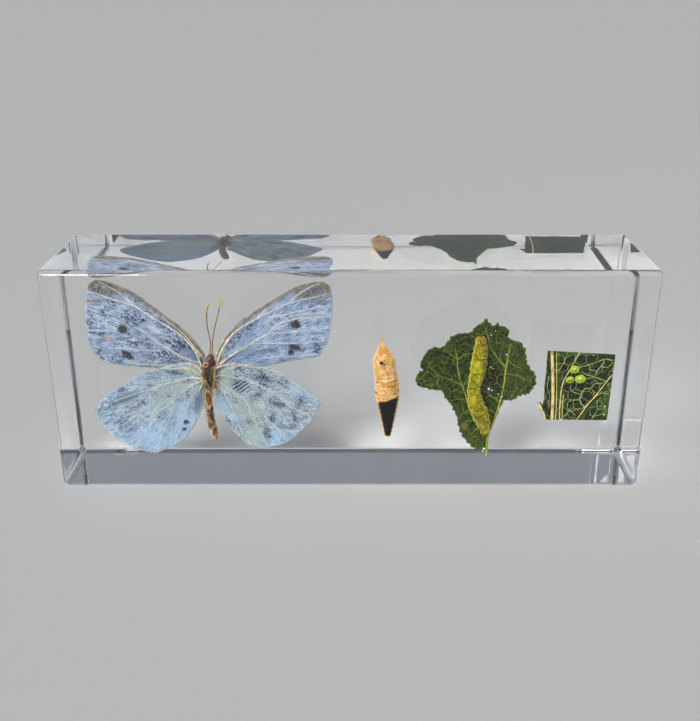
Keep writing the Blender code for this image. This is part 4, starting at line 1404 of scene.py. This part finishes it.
# %% Leaf shape
LEAF_OUTLINE = [
    (25.4, 31.5), (26.1, 30.9), (26.6, 30.2), (27.5, 30.6), (28.3, 30.1), (29.4, 29.6),
    (29.7, 28.5), (30.2, 27.4), (31.6, 27.0), (32.9, 25.6), (33.4, 23.7), (34.3, 21.7),
    (35.6, 19.8), (35.2, 17.4), (34.3, 16.2), (32.9, 15.8), (31.5, 14.9), (29.7, 14.6),
    (29.3, 13.7), (28.9, 12.8), (28.1, 10.2), (27.3, 7.4), (26.9, 4.6), (26.2, 4.2),
    (24.9, 4.1), (23.4, 5.3), (22.4, 6.7), (21.3, 8.9), (20.7, 11.4), (19.5, 13.9),
    (18.2, 15.5), (17.7, 16.7), (15.6, 17.1), (13.4, 17.6), (12.6, 19.0), (12.9, 20.3),
    (13.7, 21.1), (13.4, 22.2), (14.3, 24.4), (15.4, 25.6), (17.7, 26.0), (18.8, 27.6),
    (20.2, 28.7), (22.4, 28.7), (23.4, 29.7), (24.5, 30.8)]
LEAF_VEINS = [
    (0.27, 0.20, [(27.0, 2.7), (27.0, 4.8), (27.1, 7.2), (27.9, 9.8)]),
    (0.20, 0.09, [(27.9, 9.8), (28.9, 14.0), (29.5, 18.0), (29.6, 21.0), (30.0, 24.0), (30.3, 26.5)]),
    (0.12, 0.07, [(22.6, 15.0), (21.5, 18.0), (20.6, 21.0), (20.3, 23.5), (19.9, 25.5)]),
    (0.08, 0.04, [(29.5, 21.9), (28.0, 23.6), (26.5, 25.9), (25.9, 28.4)]),
    (0.06, 0.04, [(28.8, 14.6), (27.2, 15.7), (24.9, 17.5)]),
    (0.06, 0.04, [(28.2, 12.0), (26.2, 13.5), (25.4, 14.3)]),
    (0.06, 0.03, [(29.6, 20.5), (32.0, 20.0), (34.0, 19.0)]),
    (0.06, 0.03, [(29.8, 23.2), (31.4, 22.0), (32.6, 21.6)]),
    (0.06, 0.04, [(20.6, 23.2), (19.0, 24.3), (17.5, 25.3)]),
    (0.06, 0.04, [(20.5, 23.4), (22.0, 24.4), (23.0, 24.6)]),
    (0.06, 0.03, [(21.5, 18.0), (19.5, 19.0), (17.0, 20.0), (15.0, 22.0)]),
    (0.05, 0.03, [(17.0, 20.0), (16.8, 18.6), (17.1, 17.3)]),
    (0.06, 0.03, [(21.6, 17.6), (22.4, 19.0), (23.0, 19.4)]),
    (0.06, 0.03, [(24.5, 31.0), (25.5, 29.0), (26.0, 27.5)]),
    (0.05, 0.03, [(22.6, 15.0), (20.6, 15.1), (19.2, 14.6)]),
    (0.05, 0.03, [(23.4, 12.8), (21.8, 11.8), (21.2, 10.2)]),
    (0.05, 0.03, [(26.0, 9.4), (24.2, 8.0), (23.0, 6.6)])]
LEAF_THICKNESS = 0.16
leaf_crests = crests_of(LEAF_VEINS[:6], 0.3)


def leaf_lift(x, z):
    """Crinkles, pulled flat along the main veins, and kept clear of the larva in front."""
    valley = 1.0 - np.exp(-(distance_to(leaf_crests, x, z) / 1.1) ** 2)
    crinkle = 0.18 * ripple(x, z, 3.2, 51) + 0.13 * ripple(x, z, 1.2, 52)
    return np.clip(0.22 * ripple(x, z, 9.0, 50) + crinkle * valley, -0.36, 0.6)


leaf_outline = frayed(smooth_path(LEAF_OUTLINE, 0.14, closed=True), 0.20, 0.9, 53)
leaf_outline = frayed(leaf_outline, 0.09, 0.35, 55)
blade = sheet("leaf_blade", leaf_outline, 0.22, leaf_lift, LEAF_THICKNESS)


# %% Leaf finish
def leaf_finish(name, main, dark, light, marks, web, wear):
    """Dried leaf: clouds of green, a web of pale lines between cells, and stains."""
    mat, tree, shader = new_material(name)
    place = millimetres(tree)
    clouds = noise(tree, place, 2.6, 4.0)
    colour = blend(tree, ramp(tree, clouds, 0.44, 0.56), main, dark)
    fresh = noise(tree, place, 0.7, 5.0)
    colour = blend(tree, ramp(tree, fresh, 0.52, 0.66, 0.0, wear), colour, light)
    pits = noise(tree, place, 1.5, 5.0)
    colour = blend(tree, ramp(tree, pits, 0.50, 0.42, 0.0, 0.95), colour, paint(3, 6, 0))
    flat = vector_maths(tree, "MULTIPLY", shaken(tree, place, 0.5, 0.5), (1.0, 0.0, 1.0))
    lines = cracks(tree, flat, 1.25)
    colour = tint(tree, colour, lines, web, light)
    colour = tint(tree, colour, speckled(tree, place, 0.24, 2.0, 0.45), 0.7, paint(6, 10, 0))
    colour = stain(tree, colour, shaken(tree, place, 0.7, 0.6), marks)
    colour = blend(tree, near(tree, "margin", 0.30, 0.7), colour, light)
    relief = maths(tree, "MULTIPLY_ADD", lines, 0.7, fresh)
    link_finish(tree, shader, colour, relief, 0.9, 0.20, clouds, (0.45, 0.7))
    return mat


LEAF_MARKS = [
    (paint(70, 94, 18), 0.35, 0.8, [(32.6, 20.6, 2.4, 3.8, -20), (24.3, 5.6, 2.2, 1.6, -30),
                                    (21.0, 11.2, 0.8, 3.0, -18), (30.2, 26.0, 2.0, 1.0, 0)]),
    (paint(8, 12, 0), 0.85, 0.6, [(19.6, 21.0, 0.5, 1.6, -30), (15.1, 20.0, 1.9, 0.14, -42),
                                  (22.0, 27.6, 0.9, 0.8, 0), (28.0, 19.4, 1.0, 2.4, 10),
                                  (16.5, 24.4, 1.6, 0.5, 30), (25.6, 14.9, 1.2, 1.2, 0)]),
    (paint(118, 110, 62), 0.75, 0.6, [(22.4, 9.2, 0.6, 0.8, 10), (31.2, 15.9, 0.4, 0.4, 0)]),
    (paint(150, 118, 82), 0.80, 0.5, [(31.9, 20.1, 0.2, 0.2, 0), (33.1, 19.4, 0.15, 0.15, 0)])]
blade.data.materials.append(leaf_finish(
    "leaf_blade", paint(28, 44, 0), paint(10, 18, 0), paint(84, 108, 22), LEAF_MARKS, 0.75, 0.45))

# %% Leaf veins and web
GREEN_BELOW = 5.0  # the stalk is still green below this height, in mm
GREEN_FADE = 2.5


def leaf_vein_finish():
    """Yellowed veins that turn green towards the stalk."""
    mat = streaky_finish("leaf_vein", paint(180, 174, 82), paint(126, 124, 40), size=0.9)
    tree = mat.node_tree
    base = tree.nodes["Principled BSDF"].inputs["Base Color"]
    height = node(tree, "ShaderNodeSeparateXYZ", inputs={0: millimetres(tree)}).outputs[2]
    green = ramp(tree, height, GREEN_BELOW + GREEN_FADE, GREEN_BELOW)
    colour = blend(tree, green, base.links[0].from_socket, paint(118, 150, 20))
    tree.links.new(colour, base)
    return mat


LEAF_VEIN = leaf_vein_finish()
LEAF_WEB = streaky_finish("leaf_web", paint(82, 106, 28), paint(24, 38, 0))
LEAF_BRANCH = streaky_finish("leaf_branch", paint(138, 148, 56), paint(70, 88, 16))
main_veins = ridge_lines("leaf_veins", LEAF_VEINS, LEAF_VEIN, leaf_lift, forward=0.08)
web = net_over("leaf_web", leaf_outline, 1.15, leaf_lift, 54, 0.07, 0.040, LEAF_WEB)
branches = net_over("leaf_branches", leaf_outline, 2.9, leaf_lift, 56, 0.09, 0.055, LEAF_BRANCH)
fit_in([blade, main_veins, web, branches], ["cabbage_leaf"])

# %% [markdown]
# ## The larva
#
# The larva lies head up on the front of the leaf. It has shrunk a little, so its skin is
# lumpy between the segment grooves, and it has turned glassy: yellow-green with amber patches
# and a lighter rim along its sides, which is painted rim light.
# Subsurface scattering gives it that inner light. One vein of the leaf has come loose and
# crosses in front of its lower half.

# %% Larva shape
LARVA_PATH = [  # x, z, half width, from the head down
    (24.4, 28.45, 0.22), (24.4, 28.25, 0.74), (24.45, 27.5, 1.00), (24.5, 26.0, 1.26),
    (24.4, 24.3, 1.40), (24.25, 22.4, 1.50), (24.1, 20.6, 1.38), (23.75, 18.8, 1.20),
    (23.6, 17.6, 1.16), (23.8, 16.2, 1.30), (24.3, 14.4, 1.48), (24.9, 12.9, 1.56),
    (25.4, 11.6, 1.48), (25.9, 10.2, 1.24), (26.2, 9.2, 0.96), (26.3, 8.4, 0.78),
    (26.35, 8.1, 0.25)]
LARVA_DEPTH = 0.84
LARVA_FATTEST = 1.60
LARVA_Y = -(0.55 + LARVA_DEPTH * LARVA_FATTEST)
SEGMENT = 1.5


def larva_swell(along, angle):
    lumps = 0.05 * ripple(along, 2.4 * np.sin(angle), 1.3, 61)
    fine = 0.035 * ripple(along, 3.0 * np.cos(angle), 0.5, 62)
    plump = 0.05 * np.cos((along / SEGMENT - 0.5) * TURN)
    return grooves(along, SEGMENT, 0.10) + plump + lumps + fine


larva = loft("larva_skin", [(x, LARVA_Y, z, half, half * LARVA_DEPTH)
                            for x, z, half in LARVA_PATH], 0.11, 72, larva_swell)

# %% Larva finish
LARVA_MARKS = [  # colour, strength, softness, blots
    (paint(150, 104, 0), 0.45, 0.7, [(24.5, 27.0, 1.2, 1.4, 0), (24.4, 24.9, 0.9, 0.6, 0),
                                     (24.2, 14.8, 0.5, 1.6, 15), (26.0, 9.2, 0.9, 1.6, 20)]),
    (paint(104, 66, 8), 0.80, 0.4, [(24.2, 27.5, 0.35, 0.25, 0), (24.9, 26.9, 0.4, 0.25, 0)]),
    (paint(206, 200, 30), 0.55, 0.7, [(23.6, 15.8, 0.5, 1.1, 8), (24.0, 22.8, 0.8, 0.8, 0),
                                     (24.2, 19.6, 0.5, 0.5, 0), (23.8, 27.4, 0.3, 0.3, 0)])]


def larva_finish():
    mat, tree, shader = new_material("larva_skin")
    place = millimetres(tree)
    clouds = noise(tree, place, 1.4, 4.0)
    colour = blend(tree, ramp(tree, clouds, 0.38, 0.62), paint(198, 196, 0), paint(128, 124, 0))
    cycle = maths(tree, "FRACT", maths(tree, "DIVIDE", attribute(tree, "along"), SEGMENT))
    groove = ramp(tree, maths(tree, "ABSOLUTE", maths(tree, "SUBTRACT", cycle, 0.5)), 0.36, 0.5)
    colour = tint(tree, colour, groove, 0.75, paint(52, 44, 0))
    creases = cracks(tree, shaken(tree, place, 0.8, 0.7), 0.75)
    colour = tint(tree, colour, creases, 0.65, paint(66, 58, 0))
    rings = curls(tree, shaken(tree, place, 2.6, 1.4), 0.5)
    colour = tint(tree, colour, rings, 0.7, paint(78, 70, 0))
    # Painted rim light: the flanks of the loft are painted a lighter yellow, as if lit through at the
    # edges.
    side = ramp(tree, attribute(tree, "side"), 0.84, 1.0, 0.0, 0.9)
    colour = blend(tree, side, colour, paint(226, 216, 70))
    colour = stain(tree, colour, shaken(tree, place, 0.9, 0.8), LARVA_MARKS)
    colour = tint(tree, colour, speckled(tree, place, 0.3, 1.4, 0.2), 0.8, paint(230, 222, 120))
    relief = maths(tree, "MULTIPLY_ADD", creases, -0.8, noise(tree, place, 0.3, 3.0))
    link_finish(tree, shader, colour, relief, 0.7, 0.12, clouds, (0.3, 0.5))
    settings(shader, subsurface_weight=0.25, subsurface_scale=0.6 * MM,
             subsurface_radius=(1.0, 0.9, 0.2))
    return mat


# %% Larva, its down and the loose vein
larva.data.materials.append(larva_finish())
LARVA_DOWN = strand_finish("larva_down", paint(226, 222, 160), paint(190, 180, 96))
down = sow_hair(larva, "larva_down", lambda place, normal: True, LARVA_DOWN, 63, 1.6e7, 0.24,
                0.014, 0.0, 0.3)
LOOSE_VEIN = [(0.12, 0.06, [
    (22.6, -0.3, 15.0), (22.75, -1.2, 14.2), (23.2, -2.6, 13.2), (23.9, -3.6, 12.1),
    (24.9, -3.75, 10.8), (25.8, -3.3, 9.8), (26.6, -2.2, 9.1), (27.1, -0.8, 8.5)])]
loose = ridge_lines("loose_vein", LOOSE_VEIN, LEAF_VEIN, step=0.15)
fit_in([larva, down], ["larva"])
fit_in([loose], ["cabbage_leaf"])

# %% [markdown]
# ## The leaf cutting and its eggs
#
# The last specimen is a square cut from an older leaf, almost black between a pale, boldly
# raised net. Three eggs sit on its front. Its corners are cut with a blade, so the outline
# keeps them, and the midrib is a bundle of cream strands along the left side. Two Nets of
# different cell size give the coarse and the fine web.

# %% Cutting
CUTTING = [(37.35, 25.1), (50.2, 24.4), (50.0, 10.6), (37.9, 10.7), (37.3, 11.9), (36.7, 13.3),
           (36.2, 14.4), (36.6, 14.5), (37.3, 13.8), (37.5, 15.2), (37.3, 17.4), (37.4, 21.0)]
CUTTING_VEINS = [
    (0.29, 0.30, [(38.15, 25.0), (38.45, 22.4), (38.85, 18.6), (39.15, 14.6), (39.3, 10.8)]),
    (0.07, 0.09, [(39.0, 25.0), (39.3, 21.6), (39.65, 17.4), (39.85, 14.6), (40.0, 10.8)]),
    (0.10, 0.12, [(43.4, 24.9), (42.1, 21.7), (40.75, 18.4), (40.6, 13.9), (40.75, 10.8)]),
    (0.07, 0.06, [(41.1, 16.0), (41.1, 13.5), (41.3, 10.9)]),
    (0.12, 0.10, [(44.1, 10.7), (45.9, 13.9), (47.4, 16.0), (50.0, 20.2)]),
    (0.20, 0.20, [(36.35, 14.4), (37.0, 13.2), (37.6, 11.9), (38.0, 10.8)]),
    (0.10, 0.06, [(42.4, 21.6), (43.6, 21.7), (45.4, 22.3), (46.9, 22.9), (48.2, 23.5), (50.0, 23.2)]),
    (0.09, 0.06, [(48.2, 23.5), (48.1, 22.4), (47.6, 21.9), (47.0, 20.9), (46.8, 19.75), (48.9, 18.9)]),
    (0.09, 0.06, [(45.5, 22.3), (45.5, 21.4), (46.9, 20.9)]),
    (0.08, 0.05, [(47.6, 21.9), (49.0, 21.7), (50.0, 22.9)]),
    (0.08, 0.05, [(46.9, 19.8), (45.4, 20.1), (44.0, 20.9)]),
    (0.07, 0.04, [(46.8, 19.7), (45.2, 19.4), (43.6, 19.0)]),
    (0.09, 0.06, [(45.6, 13.2), (44.6, 14.2), (44.3, 15.2), (44.6, 16.6), (45.2, 17.4), (46.2, 17.4),
                  (46.8, 16.8), (47.0, 16.0)]),
    (0.08, 0.04, [(46.2, 17.4), (46.8, 18.3), (48.2, 18.5)]),
    (0.08, 0.05, [(44.3, 16.2), (43.0, 16.5), (42.2, 17.4), (42.4, 18.2)]),
    (0.08, 0.05, [(44.2, 14.9), (42.6, 14.9), (42.0, 14.2), (42.1, 13.1), (42.8, 12.5), (43.9, 11.6)]),
    (0.07, 0.04, [(42.8, 12.5), (44.2, 13.0), (45.4, 13.2)]),
    (0.07, 0.04, [(42.6, 12.6), (41.8, 11.7), (41.4, 10.9)]),
    (0.09, 0.05, [(47.2, 15.7), (48.4, 16.4), (49.9, 16.2)]),
    (0.08, 0.04, [(47.0, 10.8), (47.8, 12.4), (47.9, 13.4), (47.6, 14.6), (48.4, 15.4)]),
    (0.07, 0.04, [(47.8, 13.0), (49.8, 13.0)]),
    (0.07, 0.04, [(39.0, 21.2), (39.9, 21.2), (40.6, 22.6), (41.2, 24.8)]),
    (0.06, 0.04, [(38.0, 20.0), (37.8, 17.8), (38.5, 15.6), (38.4, 13.0)])]


CUTTING_THICKNESS = 0.18
MIDRIB_STRANDS = 6  # the first of the veins; the others are thin and straight
CUTTING_MARKS = [  # colour, strength, softness, blots
    (paint(60, 92, 28), 0.6, 0.5, [
        (41.2, 13.6, 0.4, 3.4, 0), (49.4, 14.4, 0.9, 3.6, 0), (39.9, 19.0, 0.4, 6.0, 5),
        (46.4, 13.2, 2.6, 0.3, 55), (44.0, 24.6, 6.0, 0.3, 0)]),
    (paint(0, 2, 0), 0.8, 0.5, [(41.7, 12.4, 0.5, 1.0, 0), (45.3, 15.4, 0.7, 1.4, 20)])]


def cutting_lift(x, z):
    return 0.10 * ripple(x, z, 7.0, 71) + 0.04 * ripple(x, z, 1.6, 72)


cutting_outline = frayed(straight_path(CUTTING, 0.18, closed=True), 0.06, 0.7, 73)[::-1]
square = sheet("cutting_blade", cutting_outline, 0.24, cutting_lift, CUTTING_THICKNESS)
square.data.materials.append(leaf_finish(
    "cutting_blade", paint(8, 16, 0), paint(1, 3, 0), paint(60, 88, 24), CUTTING_MARKS, 0.25, 0.15))
CUTTING_VEIN = streaky_finish("cutting_vein", paint(226, 210, 142), paint(170, 150, 80), size=1.0)
CUTTING_WEB = streaky_finish("cutting_web", paint(190, 198, 124), paint(128, 148, 64))
FINE_WEB = streaky_finish("fine_web", paint(76, 102, 34), paint(24, 42, 4))
midrib = ridge_lines("cutting_midrib", CUTTING_VEINS[:MIDRIB_STRANDS], CUTTING_VEIN,
                     cutting_lift, sides=10, forward=0.14)
veinlets = ridge_lines("cutting_veins", CUTTING_VEINS[MIDRIB_STRANDS:], CUTTING_WEB,
                       cutting_lift, forward=0.10, path_of=straight_path)
coarse = net_over("cutting_web", cutting_outline, 2.1, cutting_lift, 74, 0.09, 0.038, CUTTING_WEB)
fine = net_over("cutting_fine_web", cutting_outline, 0.85, cutting_lift, 75, 0.09, 0.030, FINE_WEB)
fit_in([square, midrib, veinlets, coarse, fine], ["leaf_cutting"])

# %% Eggs: x, z, half width, half height in millimetres, and how dark the middle is
EGGS = {"egg_1": (42.6, 21.55, 0.90, 0.80, 0.35), "egg_2": (41.95, 19.4, 0.80, 0.70, 1.0),
        "egg_3": (43.85, 19.6, 1.02, 0.84, 0.5)}
EGG_RIBS = 14
EGG_RING_PITCH = 0.16
EGG_FLATNESS = 0.72  # depth as a share of height
EGG_GAP = 0.50  # from the middle of the cutting to the back of an egg


def egg_finish(name, x, z, wide, high, middle):
    mat, tree, shader = new_material(name)
    place = millimetres(tree)
    clouds = noise(tree, place, 0.5, 4.0)
    colour = blend(tree, ramp(tree, clouds, 0.36, 0.66), paint(180, 204, 74), paint(146, 172, 30))
    core = [(x, z, 0.62 * wide, 0.58 * high, 0)]
    # Painted highlight: a pale patch high on the left of each egg stands in for a glint of light.
    painted_glint = [(x - 0.15 * wide, z + 0.35 * high, 0.30 * wide, 0.22 * high, 0)]
    colour = stain(tree, colour, shaken(tree, place, 0.25, 0.3), [
        (paint(96, 124, 2), middle, 0.45, core), (paint(226, 232, 152), 0.6, 0.5, painted_glint)])
    link_finish(tree, shader, colour, noise(tree, place, 0.2, 3.0), 0.4, 0.05)
    settings(shader, roughness=0.4, subsurface_weight=0.25, subsurface_scale=0.3 * MM,
             subsurface_radius=(0.8, 1.0, 0.2))
    return mat


def egg_swell(along, angle):
    return 0.022 * np.cos(angle * EGG_RIBS) + 0.010 * np.cos(along * TURN / EGG_RING_PITCH)


for name, (x, z, wide, high, middle) in EGGS.items():
    depth = high * EGG_FLATNESS
    stations = [(0.0, 0.0, depth * math.cos(turn), wide * math.sin(turn), high * math.sin(turn))
                for turn in np.radians(np.linspace(4.0, 176.0, 15))]
    egg = loft(name + "_shell", stations, 0.05, 84, egg_swell)
    centre = Vector((x, -(EGG_GAP + depth), z)) * MM
    egg.data.transform(Matrix.Translation(centre) @ Matrix.Rotation(math.radians(90.0), 4, "X"))
    egg.data.materials.append(egg_finish(name + "_shell", x, z, wide, high, middle))
    fit_in([egg], [name])

# %% [markdown]
# ## Bubbles
#
# A few tiny bubbles clung to the leaves while the resin set. Light bends so sharply round a
# bubble that it shows as a small bright bead, so each is a pale, glossy one. Geometry Nodes
# put a sphere on every point of a bare mesh, sized by the point's own radius.

# %% Bubbles
bubbles, start, end = new_group("Bubbles", "GeometryNodeTree", {
    "Places": ("Geometry", None), **FINISH}, GEOMETRY)
bead = node(bubbles, "GeometryNodeMeshIcoSphere", inputs={"Radius": 1.0, "Subdivisions": 3})
beads = node(bubbles, "GeometryNodeInstanceOnPoints", inputs={
    "Points": start["Places"], "Instance": bead.outputs[0], "Scale": own_radius(bubbles)})
finish_geometry(bubbles, beads.outputs[0], start["Finish"], end)
BUBBLES = [  # x, y, z, radius
    (26.6, -0.7, 17.4, 0.24), (27.2, -0.7, 17.1, 0.16), (26.7, -0.6, 21.9, 0.16),
    (27.2, -0.6, 21.6, 0.09), (29.6, -0.6, 24.5, 0.15), (26.4, -0.6, 28.4, 0.14),
    (27.2, -0.6, 29.2, 0.10), (28.5, -0.6, 16.3, 0.13), (29.2, -0.6, 15.7, 0.14),
    (26.4, -0.6, 4.5, 0.22), (26.2, -0.6, 3.9, 0.16), (24.8, -3.7, 24.6, 0.12),
    (24.1, -3.7, 23.6, 0.11), (25.6, -3.5, 10.2, 0.14), (24.3, -3.4, 18.2, 0.12),
    (49.2, -0.6, 13.7, 0.17), (49.2, -0.6, 12.0, 0.16), (41.0, -0.6, 10.9, 0.18),
    (-28.9, -0.3, 25.4, 0.12), (-28.6, -0.9, 23.2, 0.13), (-30.2, -0.3, 27.3, 0.12)]


def bubble_finish():
    mat, tree, shader = new_material("bubble", gloss=OPEN_GLOSS)
    clouds = noise(tree, millimetres(tree), 0.12, 2.0)
    tree.links.new(blend(tree, clouds, paint(214, 220, 222), paint(252, 254, 255)),
                   shader.inputs["Base Color"])
    settings(shader, roughness=0.25)
    return mat


spots = object_from("places", [place[:3] for place in BUBBLES],
                    radius=[place[3] * MM for place in BUBBLES])
trapped = run_nodes(spots, bubbles, "trapped_bubbles", finish=bubble_finish())
fit_in([trapped], ["resin_block"])
